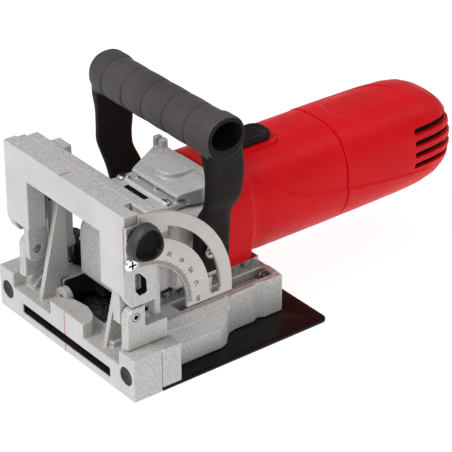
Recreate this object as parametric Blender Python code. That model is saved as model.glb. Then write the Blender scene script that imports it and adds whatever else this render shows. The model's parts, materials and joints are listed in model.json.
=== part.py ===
"""Biscuit joiner: plunging blade unit on a flat base, with a lifting carrier and a tilting fence.

Sizes below are in millimetres and become metres when a mesh is made. The origin lies on the sole,
straight below the blade spindle at rest. +X is the quadrant side, -Y points at the workpiece, +Z is up.
"""
import math

import bmesh
import bpy
from mathutils import Vector

MM = 0.001
GAP = 0.3                      # clearance left between pieces that touch
ROUND = 20                     # sides of an ordinary turned piece

# Base
HALF_WIDTH = 70.0
FACE_Y = -58.0                 # front face that meets the workpiece
BLOCK_REAR_Y = -38.0
BLOCK_TOP_Z = 28.0
RECESS_TOP_Z = 18.5
CASTING_FRONT_Y = BLOCK_REAR_Y + 0.4
CASTING_REAR_Y = 71.0
CASTING_BOTTOM_Z = 2.3
CASTING_TOP_Z = 27.5
PLATE_THICKNESS = 2.0
PLATE_REAR_Y = 87.5
SLOT_HALF = 45.6
SLOT_LOW_Z, SLOT_HIGH_Z = 4.9, 11.6
CHAMBER_RADIUS = 51.5
CHAMBER_TOP_Z = 13.8
CHANNEL_X = 36.0               # centre of each return-spring channel
CHANNEL_HALF = 5.0
CHANNEL_FLOOR_Z = 15.0
SLIDE_Z = 28.4                 # top of the gap between the base and what slides or stands on it
SOLE_SCREWS = (("front", 63.0, -30.0), ("rear", 38.0, 62.0))
TURRET = (-44.0, -12.0)        # x and y of the depth turret
SPOUT_CENTRE = (4.0, 13.4)     # y and z of the dust spout

# Blade and plunge
BLADE_RADIUS = 50.0
BLADE_Z = 8.2
PLUNGE = 22.0
SPINDLE_RADIUS = 6.0
MOTOR_Z = 62.4                 # height of the armature axis
CROWN_TEETH = 24
PINION_TEETH = 8

# Carrier and fence
RAIL_X = 31.5
HANGER_X = 34.8                # inner faces of the carrier, just outside the plunging gear head
PIVOT_Y, PIVOT_Z = -48.0, 48.8
PIN_RADIUS = 2.5
POST_LOW_X, POST_HIGH_X = 53.0, 59.7
POSTS = {-1: (45.7, 52.4), 1: (POST_LOW_X, POST_HIGH_X)}     # hinge posts, left and right
TABS = {-1: (40.4, 45.1), 1: (45.6, 52.4)}                   # fence tabs beside them
HINGE_PINS = {-1: (40.9, 52.0), 1: (45.9, 59.3)}
FENCE_HALF = 60.0
FENCE_FRONT_Y = -56.3
FENCE_TOP_Z = 117.0
FENCE_BAR_LOW_Z = 98.0
FENCE_LEG_X = 37.0
QUADRANT_RADIUS = 66.5
QUADRANT_INNER = 34.0
QUADRANT_SLOT = 54.2           # radius of the arc slot's middle
QUADRANT_X = FENCE_HALF + GAP
QUADRANT_THICKNESS = 2.5
CLAMP_ANGLE = math.radians(91.0)
CLAMP_Y = PIVOT_Y + QUADRANT_SLOT * math.cos(CLAMP_ANGLE)
CLAMP_Z = PIVOT_Z + QUADRANT_SLOT * math.sin(CLAMP_ANGLE)
CLAMP_FACE_X = QUADRANT_X + QUADRANT_THICKNESS + 0.4
CHEEK_REACH = 47.0             # cheeks stay inside this radius, to pass under the carrier when tilting
LIFT_CLAMP = (-29.2, 72.0)     # y and z of the height clamp
QUADRANT_SCREW = (-53.8, 87.7)  # y and z

# Motor unit
FLANGE_Y = 37.0                # joint between gear head and motor housing
SEAM_Y = 132.0                 # joint between motor housing and rear cap
TAIL_Y = 230.5
BARREL_RADIUS = 33.9
LOCK_CENTRE = (4.0, 49.0)      # y and z of the spindle-lock button
DEPTH_ROD = (-44.0, 39.0)      # x and z
COVER_SCREW = (20.5, 1.5)      # x and y, mirrored
GLAND_CENTRE = (0.0, MOTOR_Z - 14)
WALL = 3.0

# Handle
HANDLE_Y, HANDLE_Z = 14.0, 143.5
HANDLE_RADIUS = 13.5
GRIP_ENDS = (-52.6, 60.0)       # the grip lies a little to the right of the blade's middle
LEG_FOOT = [(62, 39.6, 21, 25, 6), (54, 39.6, 21.2, 24.4, 6), (46.5, 39.6, 21, 17, 5.4)]
LEG_STATIONS = {               # z, x, y, width along Y and thickness of each leg, from the grip down
    -1: [(150, 48.6, 14.6, 24, 10), (143.5, 48.9, 14.6, 27, 11), (132, 50, 15.6, 26, 9),
         (122, 50.4, 17, 26.6, 5.8), (110, 50.3, 16.8, 26, 5.6), (101, 49.8, 16, 25, 5.6),
         (92.6, 48.6, 16.8, 22.4, 5.4), (84, 46.6, 19.6, 24, 5.6), (77, 44.2, 20.6, 25, 5.8),
         (68, 39.9, 21, 25, 6)] + LEG_FOOT,
    1: [(150, 56, 14.6, 24, 11), (143.5, 56.2, 14.6, 27, 12), (132, 57, 15.6, 26, 9),
        (122, 57.4, 17, 26.6, 6), (110, 57.3, 16.8, 26, 5.6), (101, 56.6, 16, 25, 5.8),
        (96.5, 53.6, 16.4, 23.6, 6.2), (92.6, 50, 16.8, 22.4, 6.6), (85, 44, 19.6, 24, 6.6),
        (77, 41, 20.6, 25, 6.2)] + LEG_FOOT,
}
HANDLE_BOSS = (18.0, 62.0)     # y and z of each leg's screw


# ---------------------------------------------------------------- scene and materials
def clear_scene():
    for old in list(bpy.data.objects):
        bpy.data.objects.remove(old, do_unlink=True)


def material(name, colour, roughness, metallic):
    made = bpy.data.materials.new(name)
    made.use_nodes = True
    shader = made.node_tree.nodes["Principled BSDF"]
    shader.inputs["Base Color"].default_value = (*colour, 1.0)
    shader.inputs["Roughness"].default_value = roughness
    shader.inputs["Metallic"].default_value = metallic
    return made


CAST = (0.62, 0.62, 0.61), 0.48, 0.85
PLATED = (0.66, 0.64, 0.61), 0.35, 0.9
STEEL = (0.55, 0.55, 0.56), 0.3, 1.0
DARK_STEEL = (0.09, 0.09, 0.1), 0.4, 0.8
BLACK_PLASTIC = (0.02, 0.02, 0.022), 0.5, 0.0
RED_PLASTIC = (0.62, 0.012, 0.015), 0.35, 0.0
RUBBER = (0.03, 0.03, 0.03), 0.85, 0.0
COPPER = (0.72, 0.32, 0.16), 0.35, 1.0
CARBON = (0.05, 0.05, 0.055), 0.7, 0.1
BRASS = (0.75, 0.56, 0.24), 0.35, 1.0


# ---------------------------------------------------------------- shape helpers
def make(name, bm):
    """Turn a bmesh in millimetres into an object in metres, faces pointing out."""
    bmesh.ops.recalc_face_normals(bm, faces=bm.faces)
    bmesh.ops.scale(bm, vec=(MM, MM, MM), verts=bm.verts)
    mesh = bpy.data.meshes.new(name)
    bm.to_mesh(mesh)
    bm.free()
    made = bpy.data.objects.new(name, mesh)
    bpy.context.scene.collection.objects.link(made)
    return made


def place(axis, first, second, along):
    """Point from two section coordinates and a distance along an axis."""
    if axis == "X":
        return Vector((along, first, second))
    if axis == "Y":
        return Vector((first, along, second))
    return Vector((first, second, along))


def loft(name, rings):
    """Closed skin through rings of equal point count, with flat ends."""
    bm = bmesh.new()
    rows = [[bm.verts.new(point) for point in ring] for ring in rings]
    count = len(rings[0])
    for low, high in zip(rows, rows[1:]):
        for i in range(count):
            j = (i + 1) % count
            bm.faces.new((low[i], low[j], high[j], high[i]))
    bm.faces.new(rows[0])
    bm.faces.new(rows[-1])
    return make(name, bm)


def prism(name, axis, outline, low, high):
    return loft(name, [[place(axis, u, v, low) for u, v in outline],
                       [place(axis, u, v, high) for u, v in outline]])


def box(name, low, high, bevel=0.0, segments=1):
    bm = bmesh.new()
    bmesh.ops.create_cube(bm, size=1.0)
    centre = [(a + b) / 2 for a, b in zip(low, high)]
    size = [b - a for a, b in zip(low, high)]
    bmesh.ops.scale(bm, vec=size, verts=bm.verts)
    bmesh.ops.translate(bm, vec=centre, verts=bm.verts)
    if bevel:
        bmesh.ops.bevel(bm, geom=bm.edges[:], offset=bevel, segments=segments, affect="EDGES")
    return make(name, bm)


def turned(name, axis, centre, profile, sides=ROUND, ring=False):
    """Revolve (radius, distance) pairs about an axis. A ring's profile closes on itself."""
    bm = bmesh.new()
    rows = []
    for radius, along in profile:
        angles = [0.0] if radius == 0 else [math.tau * i / sides for i in range(sides)]
        rows.append([bm.verts.new(place(axis, centre[0] + radius * math.cos(a),
                                        centre[1] + radius * math.sin(a), along)) for a in angles])
    pairs = list(zip(rows, rows[1:]))
    if ring:
        pairs.append((rows[-1], rows[0]))
    for low, high in pairs:
        for i in range(sides):
            j = (i + 1) % sides
            corners = [low[i % len(low)], low[j % len(low)], high[j % len(high)], high[i % len(high)]]
            unique = list(dict.fromkeys(corners))
            if len(unique) > 2:
                bm.faces.new(unique)
    if not ring:
        for row in (rows[0], rows[-1]):
            if len(row) > 1:
                bm.faces.new(row)
    return make(name, bm)


def rod(name, axis, centre, radius, low, high, sides=ROUND):
    return turned(name, axis, centre, [(radius, low), (radius, high)], sides)


def tube(name, axis, centre, outer, inner, low, high, sides=ROUND):
    profile = [(outer, low), (outer, high), (inner, high), (inner, low)]
    return turned(name, axis, centre, profile, sides, ring=True)


def arc(centre, radius, start, end, count):
    """Points of an arc, angles in degrees."""
    steps = [math.radians(start + (end - start) * i / (count - 1)) for i in range(count)]
    return [(centre[0] + radius * math.cos(a), centre[1] + radius * math.sin(a)) for a in steps]


def combine(target, operation, tools):
    """Boolean the tools into the target and remove them."""
    for tool in tools:
        step = target.modifiers.new("step", "BOOLEAN")
        step.operation = operation
        step.object = tool
        depsgraph = bpy.context.evaluated_depsgraph_get()
        result = bpy.data.meshes.new_from_object(target.evaluated_get(depsgraph))
        target.modifiers.clear()
        target.data = result
        bpy.data.objects.remove(tool, do_unlink=True)
    return target


def join(target, *tools):
    return combine(target, "UNION", tools)


def cut(target, *tools):
    return combine(target, "DIFFERENCE", tools)


def mirrored(points):
    return [(-x, y) for x, y in points]


def dress(piece, look):
    """Give a piece its own material and smooth shading with sharp edges kept."""
    piece.data.materials.clear()
    piece.data.materials.append(material(piece.name, *look))
    piece.data.polygons.foreach_set("material_index", [0] * len(piece.data.polygons))
    piece.data.shade_smooth()
    piece.data.set_sharp_from_angle(angle=math.radians(32))
    return piece


def body(name, origin, pieces):
    """Hang pieces on an empty that lies on their joint's axis."""
    empty = bpy.data.objects.new(name + "_axis", None)
    bpy.context.scene.collection.objects.link(empty)
    empty.location = Vector(origin) * MM
    for piece in pieces:
        piece.parent = empty
        piece.location -= empty.location


def both_sides(maker):
    """Build one piece on each side; the maker takes the side's name and sign."""
    return [maker("left", -1), maker("right", 1)]


def side_box(name, side, low, high, bevel=0.0):
    """Box given for the right side, built on either side."""
    xs = sorted((low[0] * side, high[0] * side))
    return box(name, (xs[0], low[1], low[2]), (xs[1], high[1], high[2]), bevel)


# ---------------------------------------------------------------- base
def base_front_block():
    block = box("base_front_block", (-HALF_WIDTH, FACE_Y, 0), (HALF_WIDTH, BLOCK_REAR_Y, RECESS_TOP_Z))
    middle = [(-15, FACE_Y), (19, FACE_Y), (19, -51), (13, -46), (4, -43.5), (-7, -45), (-15, -50)]
    join(block, prism("middle", "Z", middle, RECESS_TOP_Z - 5, BLOCK_TOP_Z))
    web = [(-53.5, RECESS_TOP_Z - 3), (-36.6, 88), (-36.6, 93.6), (-33, 93.6), (-33, SLIDE_Z + 0.4),
           (BLOCK_REAR_Y - 0.4, SLIDE_Z), (BLOCK_REAR_Y - 0.4, RECESS_TOP_Z - 3)]
    for side in (-1, 1):
        join(block, side_box("pad_block", side, (55, FACE_Y, 5), (HALF_WIDTH, BLOCK_REAR_Y, BLOCK_TOP_Z)))
        xs = sorted((RAIL_X * side, (RAIL_X + 3.6) * side))
        join(block, prism("web", "X", web, *xs))
        join(block, side_box("rail", side, (RAIL_X + 0.4, -37.6, SLIDE_Z), (40.2, -32.6, 94)))
        join(block, rod("ear", "Y", (25 * side, 19.6), 6.4, -42.5, -38.4, 20))
        cut(block, rod("ear_hole", "Y", (25 * side, 19.8), 2.0, -44, -36, 12))
        cut(block, rod("pad_seat", "Y", (61.5 * side, 13.9), 5.8, FACE_Y - 1, -55.4, 24))
    cut(block, box("slot", (-SLOT_HALF, FACE_Y - 1, SLOT_LOW_Z), (SLOT_HALF, -45, SLOT_HIGH_Z)))
    cut(block, rod("pocket", "Z", (0, -PLUNGE), CHAMBER_RADIUS, SLOT_LOW_Z, SLOT_HIGH_Z, 48))
    return dress(block, CAST)


def casting_outline():
    """Right-hand edge of the rear casting, front to back."""
    return [(HALF_WIDTH, CASTING_FRONT_Y), (HALF_WIDTH, -24), (57.5, -23.4), (57.5, 15), (55.5, 20.5),
            (50.5, 25), (47, 29), (46, 34), (45.8, 49), (44.2, 51.5), (44.2, 54), (45.6, 57),
            (45.6, CASTING_REAR_Y)]


def base_casting():
    edge = casting_outline()
    outline = edge + mirrored(edge)[::-1]
    casting = prism("base_casting", "Z", outline, CASTING_BOTTOM_Z, CASTING_TOP_Z)
    for side in (-1, 1):
        shoulder = [(44.8 * side, 28.5), (44.8 * side, 27.0), (51 * side, 22.0), (58 * side, 16.4),
                    (75 * side, 16.4), (75 * side, 28.5)]
        cut(casting, prism("shoulder", "Y", shoulder, -23.9, 31))
        cut(casting, side_box("channel", side, (CHANNEL_X - CHANNEL_HALF, -3, CHANNEL_FLOOR_Z),
                              (CHANNEL_X + CHANNEL_HALF, 66.5, 30)))
        for _, x, y in SOLE_SCREWS:
            cut(casting, rod("screw_hole", "Z", (x * side, y), 2.2, 0, 11, 12))
    chamber = arc((0, 0), CHAMBER_RADIUS, 0, 180, 25) + arc((0, -PLUNGE), CHAMBER_RADIUS, 180, 360, 25)
    cut(casting, prism("chamber", "Z", chamber, 1, CHAMBER_TOP_Z))
    well = arc((0, 1), 18, 0, 180, 17) + [(-18, -17), (-29, -17), (-29, -41), (29, -41), (29, -17), (18, -17)]
    cut(casting, prism("spindle_well", "Z", well, CHAMBER_TOP_Z - 1, 30))
    cut(casting, box("dust_mouth", (-64, -4, 4), (-45, 12, 12.5)))
    cut(casting, rod("turret_hole", "Z", TURRET, 2.2, 21, 30, 12))
    return dress(casting, CAST)


def base_plate():
    edge = [(HALF_WIDTH, CASTING_FRONT_Y)]
    edge += arc((HALF_WIDTH - 4.5, PLATE_REAR_Y - 4.5), 4.5, 0, 90, 5)
    plate = prism("base_plate", "Z", edge + mirrored(edge)[::-1], 0, PLATE_THICKNESS)
    for side in (-1, 1):
        for _, x, y in SOLE_SCREWS:
            cut(plate, rod("hole", "Z", (x * side, y), 4.2, -1, 3, 16))
    return dress(plate, DARK_STEEL)


def sole_screws():
    made = []
    for side_name, side in (("left", -1), ("right", 1)):
        for place_name, x, y in SOLE_SCREWS:
            profile = [(3.8, 0.3), (3.8, 0.9), (1.9, 2.1), (1.9, 10), (0, 10)]
            screw = turned(f"sole_screw_{place_name}_{side_name}", "Z", (x * side, y), profile, 14)
            made.append(dress(screw, STEEL))
    return made


def grip_pads():
    def pad(name, side):
        profile = [(5.5, -55.7), (5.5, FACE_Y + 0.9), (4.9, FACE_Y + 0.2)]
        return dress(turned(f"grip_pad_{name}", "Y", (61.5 * side, 13.9), profile, 24), RUBBER)
    return both_sides(pad)


def guide_strips():
    def strip(name, side):
        outline = [(24.2, 27.8), (28.5, 27.8), (28.5, 34.4), (21.5, 34.4), (21.5, 32.3), (24.2, 32.3)]
        outline = [(x * side, z) for x, z in outline]
        return dress(prism(f"guide_strip_{name}", "Y", outline, -13.8, 66), STEEL)
    return both_sides(strip)


def coil(name, centre, radius, wire, low, high, turns):
    """Closed coil spring along Y."""
    around, sides = 7, 4
    rings = []
    steps = turns * around
    for i in range(steps + 1):
        angle = math.tau * i / around
        out = Vector((math.cos(angle), 0, math.sin(angle)))
        middle = Vector((centre[0], low + (high - low) * i / steps, centre[1])) + out * radius
        rings.append([middle + wire * (out * math.cos(b) + Vector((0, math.sin(b), 0)))
                      for b in (math.tau * k / sides for k in range(sides))])
    return loft(name, rings)


def return_springs():
    def spring(name, side):
        return dress(coil(f"return_spring_{name}", (CHANNEL_X * side, 20.5), 3.3, 0.6, 24.6, 60, 9), STEEL)
    return both_sides(spring)


def spring_anchors():
    def anchor(name, side):
        outline = [(61, CHANNEL_FLOOR_Z + GAP), (66.2, CHANNEL_FLOOR_Z + GAP)]
        outline += arc((63.6, 26), 2.6, 0, 180, 9)
        xs = sorted(((CHANNEL_X - 1) * side, (CHANNEL_X + 1) * side))
        eye = prism(f"spring_anchor_{name}", "X", outline, *xs)
        cut(eye, rod("hole", "X", (63.6, 26), 1.3, -45, 45, 10))
        return dress(eye, STEEL)
    return both_sides(anchor)


def dust_spout():
    spout = box("dust_spout", (-60.6, -12, 2.4), (-57.8, 20, 24.6), 1.0)
    join(spout, rod("pipe", "X", SPOUT_CENTRE, 10.6, -86, -60))
    cut(spout, rod("bore", "X", SPOUT_CENTRE, 8.6, -88, -56))
    return dress(spout, BLACK_PLASTIC)


def depth_turret():
    steps = (4.0, 8.8, 7.6, 6.4, 5.2)
    width = 360 / len(steps)
    cam = []
    for k, radius in enumerate(steps):
        middle = 90 + k * width
        cam += arc(TURRET, radius, middle - width / 2 + 1, middle + width / 2 - 1, 6)
    turret = turned("depth_turret", "Z", TURRET, [(10.0, 28.0), (10.0, 31.2)], 32)
    join(turret, prism("cam", "Z", cam, 30.5, 40))
    cut(turret, rod("hole", "Z", TURRET, 2.3, 26, 42, 14))
    return dress(turret, BLACK_PLASTIC)


def turret_screw():
    profile = [(2.0, 22.5), (2.0, 40.3), (3.5, 40.3), (3.5, 42.0), (2.6, 42.8)]
    return dress(turned("turret_screw", "Z", TURRET, profile, 16), STEEL)


# ---------------------------------------------------------------- carrier
def fence_carrier():
    carrier = box("fence_carrier", (-FENCE_HALF, -40.6, 96), (FENCE_HALF, -32, 115), 0.8)
    join(carrier, box("bracket", (20, -34, 97), (FENCE_HALF, -24.6, 114.4), 0.8))
    join(carrier, box("lug", (-47, -34, 97), (-34, -25, 114.2), 0.8))
    cut(carrier, box("bracket_slot", (27, -31.7, 90), (46.5, -28.2, 120)))
    for side in (-1, 1):
        join(carrier, side_box("hanger", side, (HANGER_X, -32.2, 48), (49, -26, 99)))
        join(carrier, rod("boss", "Y", (40.0 * side, 48.5), 5.0, -32.2, -24.4))
        low_x, high_x = POSTS[side]
        join(carrier, side_box("low_web", side, (low_x, -46, SLIDE_Z), (high_x, -30, 41)))
        join(carrier, side_box("post", side, (low_x, PIVOT_Y - 6.2, SLIDE_Z),
                               (high_x, PIVOT_Y + 6.2, PIVOT_Z)))
        join(carrier, side_box("post_back", side, (low_x, PIVOT_Y, 44), (high_x, PIVOT_Y + 6.2, 55)))
        xs = sorted((low_x * side, high_x * side))
        join(carrier, rod("post_top", "X", (PIVOT_Y, PIVOT_Z), 6.2, *xs, 24))
    join(carrier, box("left_upright", (-POST_HIGH_X, -32.2, SLIDE_Z), (-POST_LOW_X, -26.2, 100)))
    join(carrier, box("left_heel", (-POST_HIGH_X, -32.4, SLIDE_Z), (-46, -26.2, 41)))
    join(carrier, box("right_upright", (46, -30.4, SLIDE_Z), (53.4, -26.2, 100)))
    join(carrier, box("right_heel", (46, -32.4, SLIDE_Z), (POST_HIGH_X, -26.2, 41)))
    cut(carrier, rod("pin_hole", "X", (PIVOT_Y, PIVOT_Z), PIN_RADIUS + 0.3, -62, 62, 16))
    join(carrier, box("clamp_arm", (47.6, -53.4, 96.3), (POST_HIGH_X, -38, 110.4), 0.8))
    cut(carrier, rod("clamp_hole", "X", (CLAMP_Y, CLAMP_Z), 2.8, 46, 62, 16))
    cut(carrier, rod("lift_hole", "X", LIFT_CLAMP, 2.3, -62, -44, 14))
    return dress(carrier, CAST)


def hinge_pins():
    def pin(name, side):
        xs = sorted((HINGE_PINS[side][0] * side, HINGE_PINS[side][1] * side))
        return dress(rod(f"hinge_pin_{name}", "X", (PIVOT_Y, PIVOT_Z), PIN_RADIUS, *xs, 16), STEEL)
    return both_sides(pin)


def lobed(name, centre, low, high, radius, sides=36):
    """Three-lobed knob head along X with rounded rims and a dished face at `high`."""
    def ring(scale, along):
        points = []
        for i in range(sides):
            angle = math.tau * i / sides
            reach = radius * scale * (1 + 0.085 * math.cos(3 * (angle - math.radians(80))))
            points.append(Vector((along, centre[0] + reach * math.cos(angle),
                                  centre[1] + reach * math.sin(angle))))
        return points
    step = 1.2 if high > low else -1.2
    return loft(name, [ring(0.86, low), ring(0.97, low + step), ring(1.0, high - 1.6 * step),
                       ring(0.94, high), ring(0.82, high), ring(0.55, high - 3 * step)])


def clamp_knob(name, centre, face, reach, radius, stud):
    """Moulded knob with a steel-coloured stud; `face` is where its neck starts, `reach` the stud's tip."""
    step = 1 if face > 0 else -1
    head = lobed(name, centre, face + 4.6 * step, face + 12.2 * step, radius)
    neck = sorted((face, face + 6 * step))
    join(head, rod("neck", "X", centre, radius / 2, *neck, 24))
    join(head, rod("stud", "X", centre, stud, *sorted((reach, face + 2 * step)), 16))
    return dress(head, BLACK_PLASTIC)


def angle_clamp_knob():
    return clamp_knob("angle_clamp_knob", (CLAMP_Y, CLAMP_Z), CLAMP_FACE_X, 48, 11.7, 2.4)


def lift_clamp_knob():
    return clamp_knob("lift_clamp_knob", LIFT_CLAMP, -60.2, -45, 11.0, 1.9)


# ---------------------------------------------------------------- fence
def fence():
    back = PIVOT_Y + 7.0
    bar = box("fence", (-FENCE_HALF, FENCE_FRONT_Y, FENCE_BAR_LOW_Z), (46.8, -47.6, FENCE_TOP_Z))
    join(bar, box("rear_flange", (-FENCE_HALF, -49, FENCE_BAR_LOW_Z), (46.8, back, FENCE_TOP_Z - 1)))
    join(bar, box("end_front", (40, FENCE_FRONT_Y, 90), (FENCE_HALF, -53.9, FENCE_TOP_Z)))
    join(bar, box("end_block", (40, FENCE_FRONT_Y, 111), (61.4, -47.6, FENCE_TOP_Z)))
    pivot = (PIVOT_Y, PIVOT_Z)
    cheek = [(FENCE_FRONT_Y, 66), (-53.6, 59.5), (-51, 56.3), (-33.4, 56.3)]
    cheek += arc(pivot, CHEEK_REACH, 71.7, 92, 6) + [(FENCE_FRONT_Y, PIVOT_Z + CHEEK_REACH)]
    window = [(-48.2, 77.6), (-45.4, 77.2), (-41, 72), (-40.4, 63.6), (-45.6, 62.8), (-48.2, 66.5)]
    for side in (-1, 1):
        join(bar, side_box("leg", side, (FENCE_LEG_X, FENCE_FRONT_Y, 65), (FENCE_HALF, -50.4, 95.7)))
        join(bar, side_box("inner_wall", side, (FENCE_LEG_X, FENCE_FRONT_Y, 65), (41, -43.6, 99)))
        join(bar, prism("cheek", "X", cheek, *sorted((54 * side, FENCE_HALF * side))))
        cut(bar, prism("cheek_window", "X", window, *sorted((50 * side, 62 * side))))
        tab = [(-55, 67), (-54.4, 44)] + arc(pivot, 8.4, 215, 335, 9) + [(-40.2, 54), (-41, 67)]
        join(bar, prism("tab", "X", tab, *sorted((TABS[side][0] * side, TABS[side][1] * side))))
    join(bar, box("left_end_front", (-FENCE_HALF, FENCE_FRONT_Y, 94), (-FENCE_LEG_X, -50.4, 99)))
    join(bar, box("left_cheek_top", (-FENCE_HALF, -51, 94), (-54, back, 99)))
    cut(bar, rod("pin_hole", "X", pivot, PIN_RADIUS + 0.3, -53, 53, 16))
    cut(bar, rod("screw_hole", "X", QUADRANT_SCREW, 1.7, 54.5, 62, 12))
    return dress(bar, CAST)


def angle_quadrant():
    pivot = (PIVOT_Y, PIVOT_Z)
    low = 44.6
    outline = [(FENCE_FRONT_Y + 0.4, 79.5), (FENCE_FRONT_Y + 0.4, 110.7), (-47.3, 110.7)]
    outline += arc(pivot, QUADRANT_RADIUS, 89.4, 0, 30)
    outline += [(PIVOT_Y + QUADRANT_RADIUS - 0.1, low), (PIVOT_Y + QUADRANT_INNER - 0.2, low)]
    outline += arc(pivot, QUADRANT_INNER, 0, 93, 20)
    low_x, high_x = QUADRANT_X, QUADRANT_X + QUADRANT_THICKNESS
    plate = prism("angle_quadrant", "X", outline, low_x, high_x)
    slot = arc(pivot, QUADRANT_SLOT + 4, 95, 0.5, 30) + arc(pivot, QUADRANT_SLOT - 4, 0.5, 95, 30)
    cut(plate, prism("arc_slot", "X", slot, low_x - 2, high_x + 2))
    cut(plate, box("slot_end", (low_x - 2, PIVOT_Y + QUADRANT_SLOT - 3, 47.3),
                   (high_x + 2, PIVOT_Y + QUADRANT_SLOT + 3, 52)))
    cut(plate, rod("screw_hole", "X", QUADRANT_SCREW, 1.7, low_x - 2, high_x + 2, 12))
    return dress(plate, PLATED)


def quadrant_screw():
    face = QUADRANT_X + QUADRANT_THICKNESS + GAP
    profile = [(1.4, 55), (1.4, face), (4.25, face), (4.25, face + 0.8), (3.2, face + 2.2), (0, face + 2.5)]
    y, z = QUADRANT_SCREW
    screw = turned("quadrant_screw", "X", QUADRANT_SCREW, profile)
    for half_y, half_z in ((2.4, 0.5), (0.5, 2.4)):
        cut(screw, box("cross", (face + 1.0, y - half_y, z - half_z), (face + 4, y + half_y, z + half_z)))
    return dress(screw, STEEL)


# ---------------------------------------------------------------- gear head
def arch(half, low, spring, top, along, scale=1.0):
    """Section of the gear head's nose: straight sides and a domed top."""
    middle = (low + top) / 2
    points = [(half, low), (half, spring)]
    for i in range(1, 12):
        angle = math.pi * i / 12
        points.append((half * abs(math.cos(angle)) ** 0.8 * (1 if angle < math.pi / 2 else -1),
                       spring + (top - spring) * math.sin(angle) ** 0.8))
    points += [(-half, spring), (-half, low)]
    return [Vector((x * scale, along, middle + (z - middle) * scale)) for x, z in points]


def gear_head_housing():
    rings = [arch(28.3, 30, 58, 77, -28, 0.86), arch(28.3, 30, 58, 77, -26.6, 0.95),
             arch(28.3, 30, 58, 77, -23, 1.0), arch(28.3, 30, 58, 77, -14.4, 1.0)]
    head = loft("gear_head_housing", rings)
    join(head, box("front_body", (-30.5, -16, 35.4), (30.5, -1, 84), 3.0))
    join(head, box("rear_body", (-34, -2.4, 35.4), (34, 32, 84), 3.0))
    join(head, rod("flange", "Y", (0, MOTOR_Z), 34.4, 29, FLANGE_Y, 32))
    join(head, box("underside", (-20.4, -14, 29), (20.4, 36, 40)))
    join(head, box("slide_shoe", (-23.8, -13, SLIDE_Z), (23.8, 36, 31.9)))
    join(head, rod("collar", "Z", (0, 0), 15, 14.3, 34, 24))
    for side in (-1, 1):
        join(head, rod("handle_boss", "X", HANDLE_BOSS, 8.5, *sorted((30 * side, 36 * side)), 20))
        join(head, side_box("spring_arm", side, (19, 20, 35.4), (38, 23.4, 40), 0.4))
        join(head, side_box("spring_finger", side, (34.5, 20, 18), (37.5, 23.4, 38)))
        cut(head, rod("handle_hole", "X", HANDLE_BOSS, 2.4, *sorted((28 * side, 40 * side)), 14))
    join(head, box("depth_bracket", (-49, 26.4, 35.4), (-30, 31.6, 43.4), 0.6))
    cut(head, box("cover_seat", (-32, 27.6, 84.1), (30, 40, 100)))
    cut(head, rod("gear_chamber", "Z", (0, 0), 25.3, 36.2, 60.3, 28))
    cut(head, rod("cover_mouth", "Z", (0, 2), 15.4, 50, 90, 24))
    cut(head, rod("bearing_seat", "Y", (0, MOTOR_Z), 13.4, 27, 40, 24))
    cut(head, rod("pinion_way", "Y", (0, MOTOR_Z), 9.5, 0, 30, 16))
    cut(head, rod("lower_seat", "Z", (0, 0), 12.4, 22, 40, 24))
    cut(head, rod("spindle_way", "Z", (0, 0), 8, 10, 24, 18))
    cut(head, rod("depth_hole", "Y", DEPTH_ROD, 3.3, 24, 34, 16))
    cut(head, rod("lock_hole", "X", LOCK_CENTRE, 3.3, -36, -20, 12))
    return dress(head, CAST)


def gear_head_cover():
    cover = box("gear_head_cover", (-25, -6, 84.4), (25, 36.4, 88.6), 0.8)
    wedge = [(14, 86), (14, 90.6), (7.4, 91.2), (7, 93.2), (9, 94.2), (36.4, 98), (36.4, 86)]
    cap = prism("cap", "X", wedge, -29.6, 29.2)
    left = [(-32, 4), (-19.4, 4), (-19.4, 7.4), (-29.4, 29.6), (-32, 29.6)]
    right = [(32, 4), (24.6, 4), (24.6, 7.4), (29, 22), (32, 22)]
    cut(cap, prism("left_corner", "Z", left, 80, 104), prism("right_corner", "Z", right, 80, 104))
    join(cover, cap)
    ridge = arc((0.5, 23.2), 10.4, 180, 360, 17) + [(10.9, 31), (28.4, 31), (28.4, 35.8), (-9.9, 35.8)]
    join(cover, prism("ridge", "Z", ridge, 94, 98.8))
    join(cover, box("lug", (-31, 30.6, 86), (-21.6, 36.4, 104), 1.0))
    cut(cover, box("lug_slot", (-27.4, 28, 98), (-25, 38, 105)))
    for side in (-1, 1):
        cut(cover, rod("screw_hole", "Z", (COVER_SCREW[0] * side, COVER_SCREW[1]), 2.0, 80, 92, 12))
    cut(cover, rod("bush_seat", "Z", (0, 0), 8.3, 80, 87, 24))
    return dress(cover, CAST)


def cover_screws():
    def screw(name, side):
        profile = [(1.6, 85), (1.6, 88.9), (3.5, 88.9), (3.5, 90.4), (2.4, 91.2)]
        centre = (COVER_SCREW[0] * side, COVER_SCREW[1])
        return dress(turned(f"cover_screw_{name}", "Z", centre, profile, 14), STEEL)
    return both_sides(screw)


def depth_rod():
    profile = [(3.0, 21), (3.0, 37), (4.6, 37), (4.6, 41)]
    return dress(turned("depth_rod", "Y", DEPTH_ROD, profile, 16), STEEL)


def spindle_lock_button():
    profile = [(2.9, -29), (2.9, -38.4), (5.2, -38.4), (5.2, -41.4), (4.2, -42.4)]
    return dress(turned("spindle_lock_button", "X", LOCK_CENTRE, profile, 16), BLACK_PLASTIC)


# ---------------------------------------------------------------- motor housing
def barrel(radius, along, sides=32):
    """Barrel section: round below, squarer with a flat top above."""
    points = []
    for i in range(sides):
        angle = math.tau * i / sides
        c, s = math.cos(angle), math.sin(angle)
        power = 2 / 2.7 if s > 0 else 1.0
        height = radius * (1.045 if s > 0 else 1.0)
        points.append(Vector((radius * math.copysign(abs(c) ** power, c), along,
                              MOTOR_Z + height * math.copysign(abs(s) ** power, s))))
    return points


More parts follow.
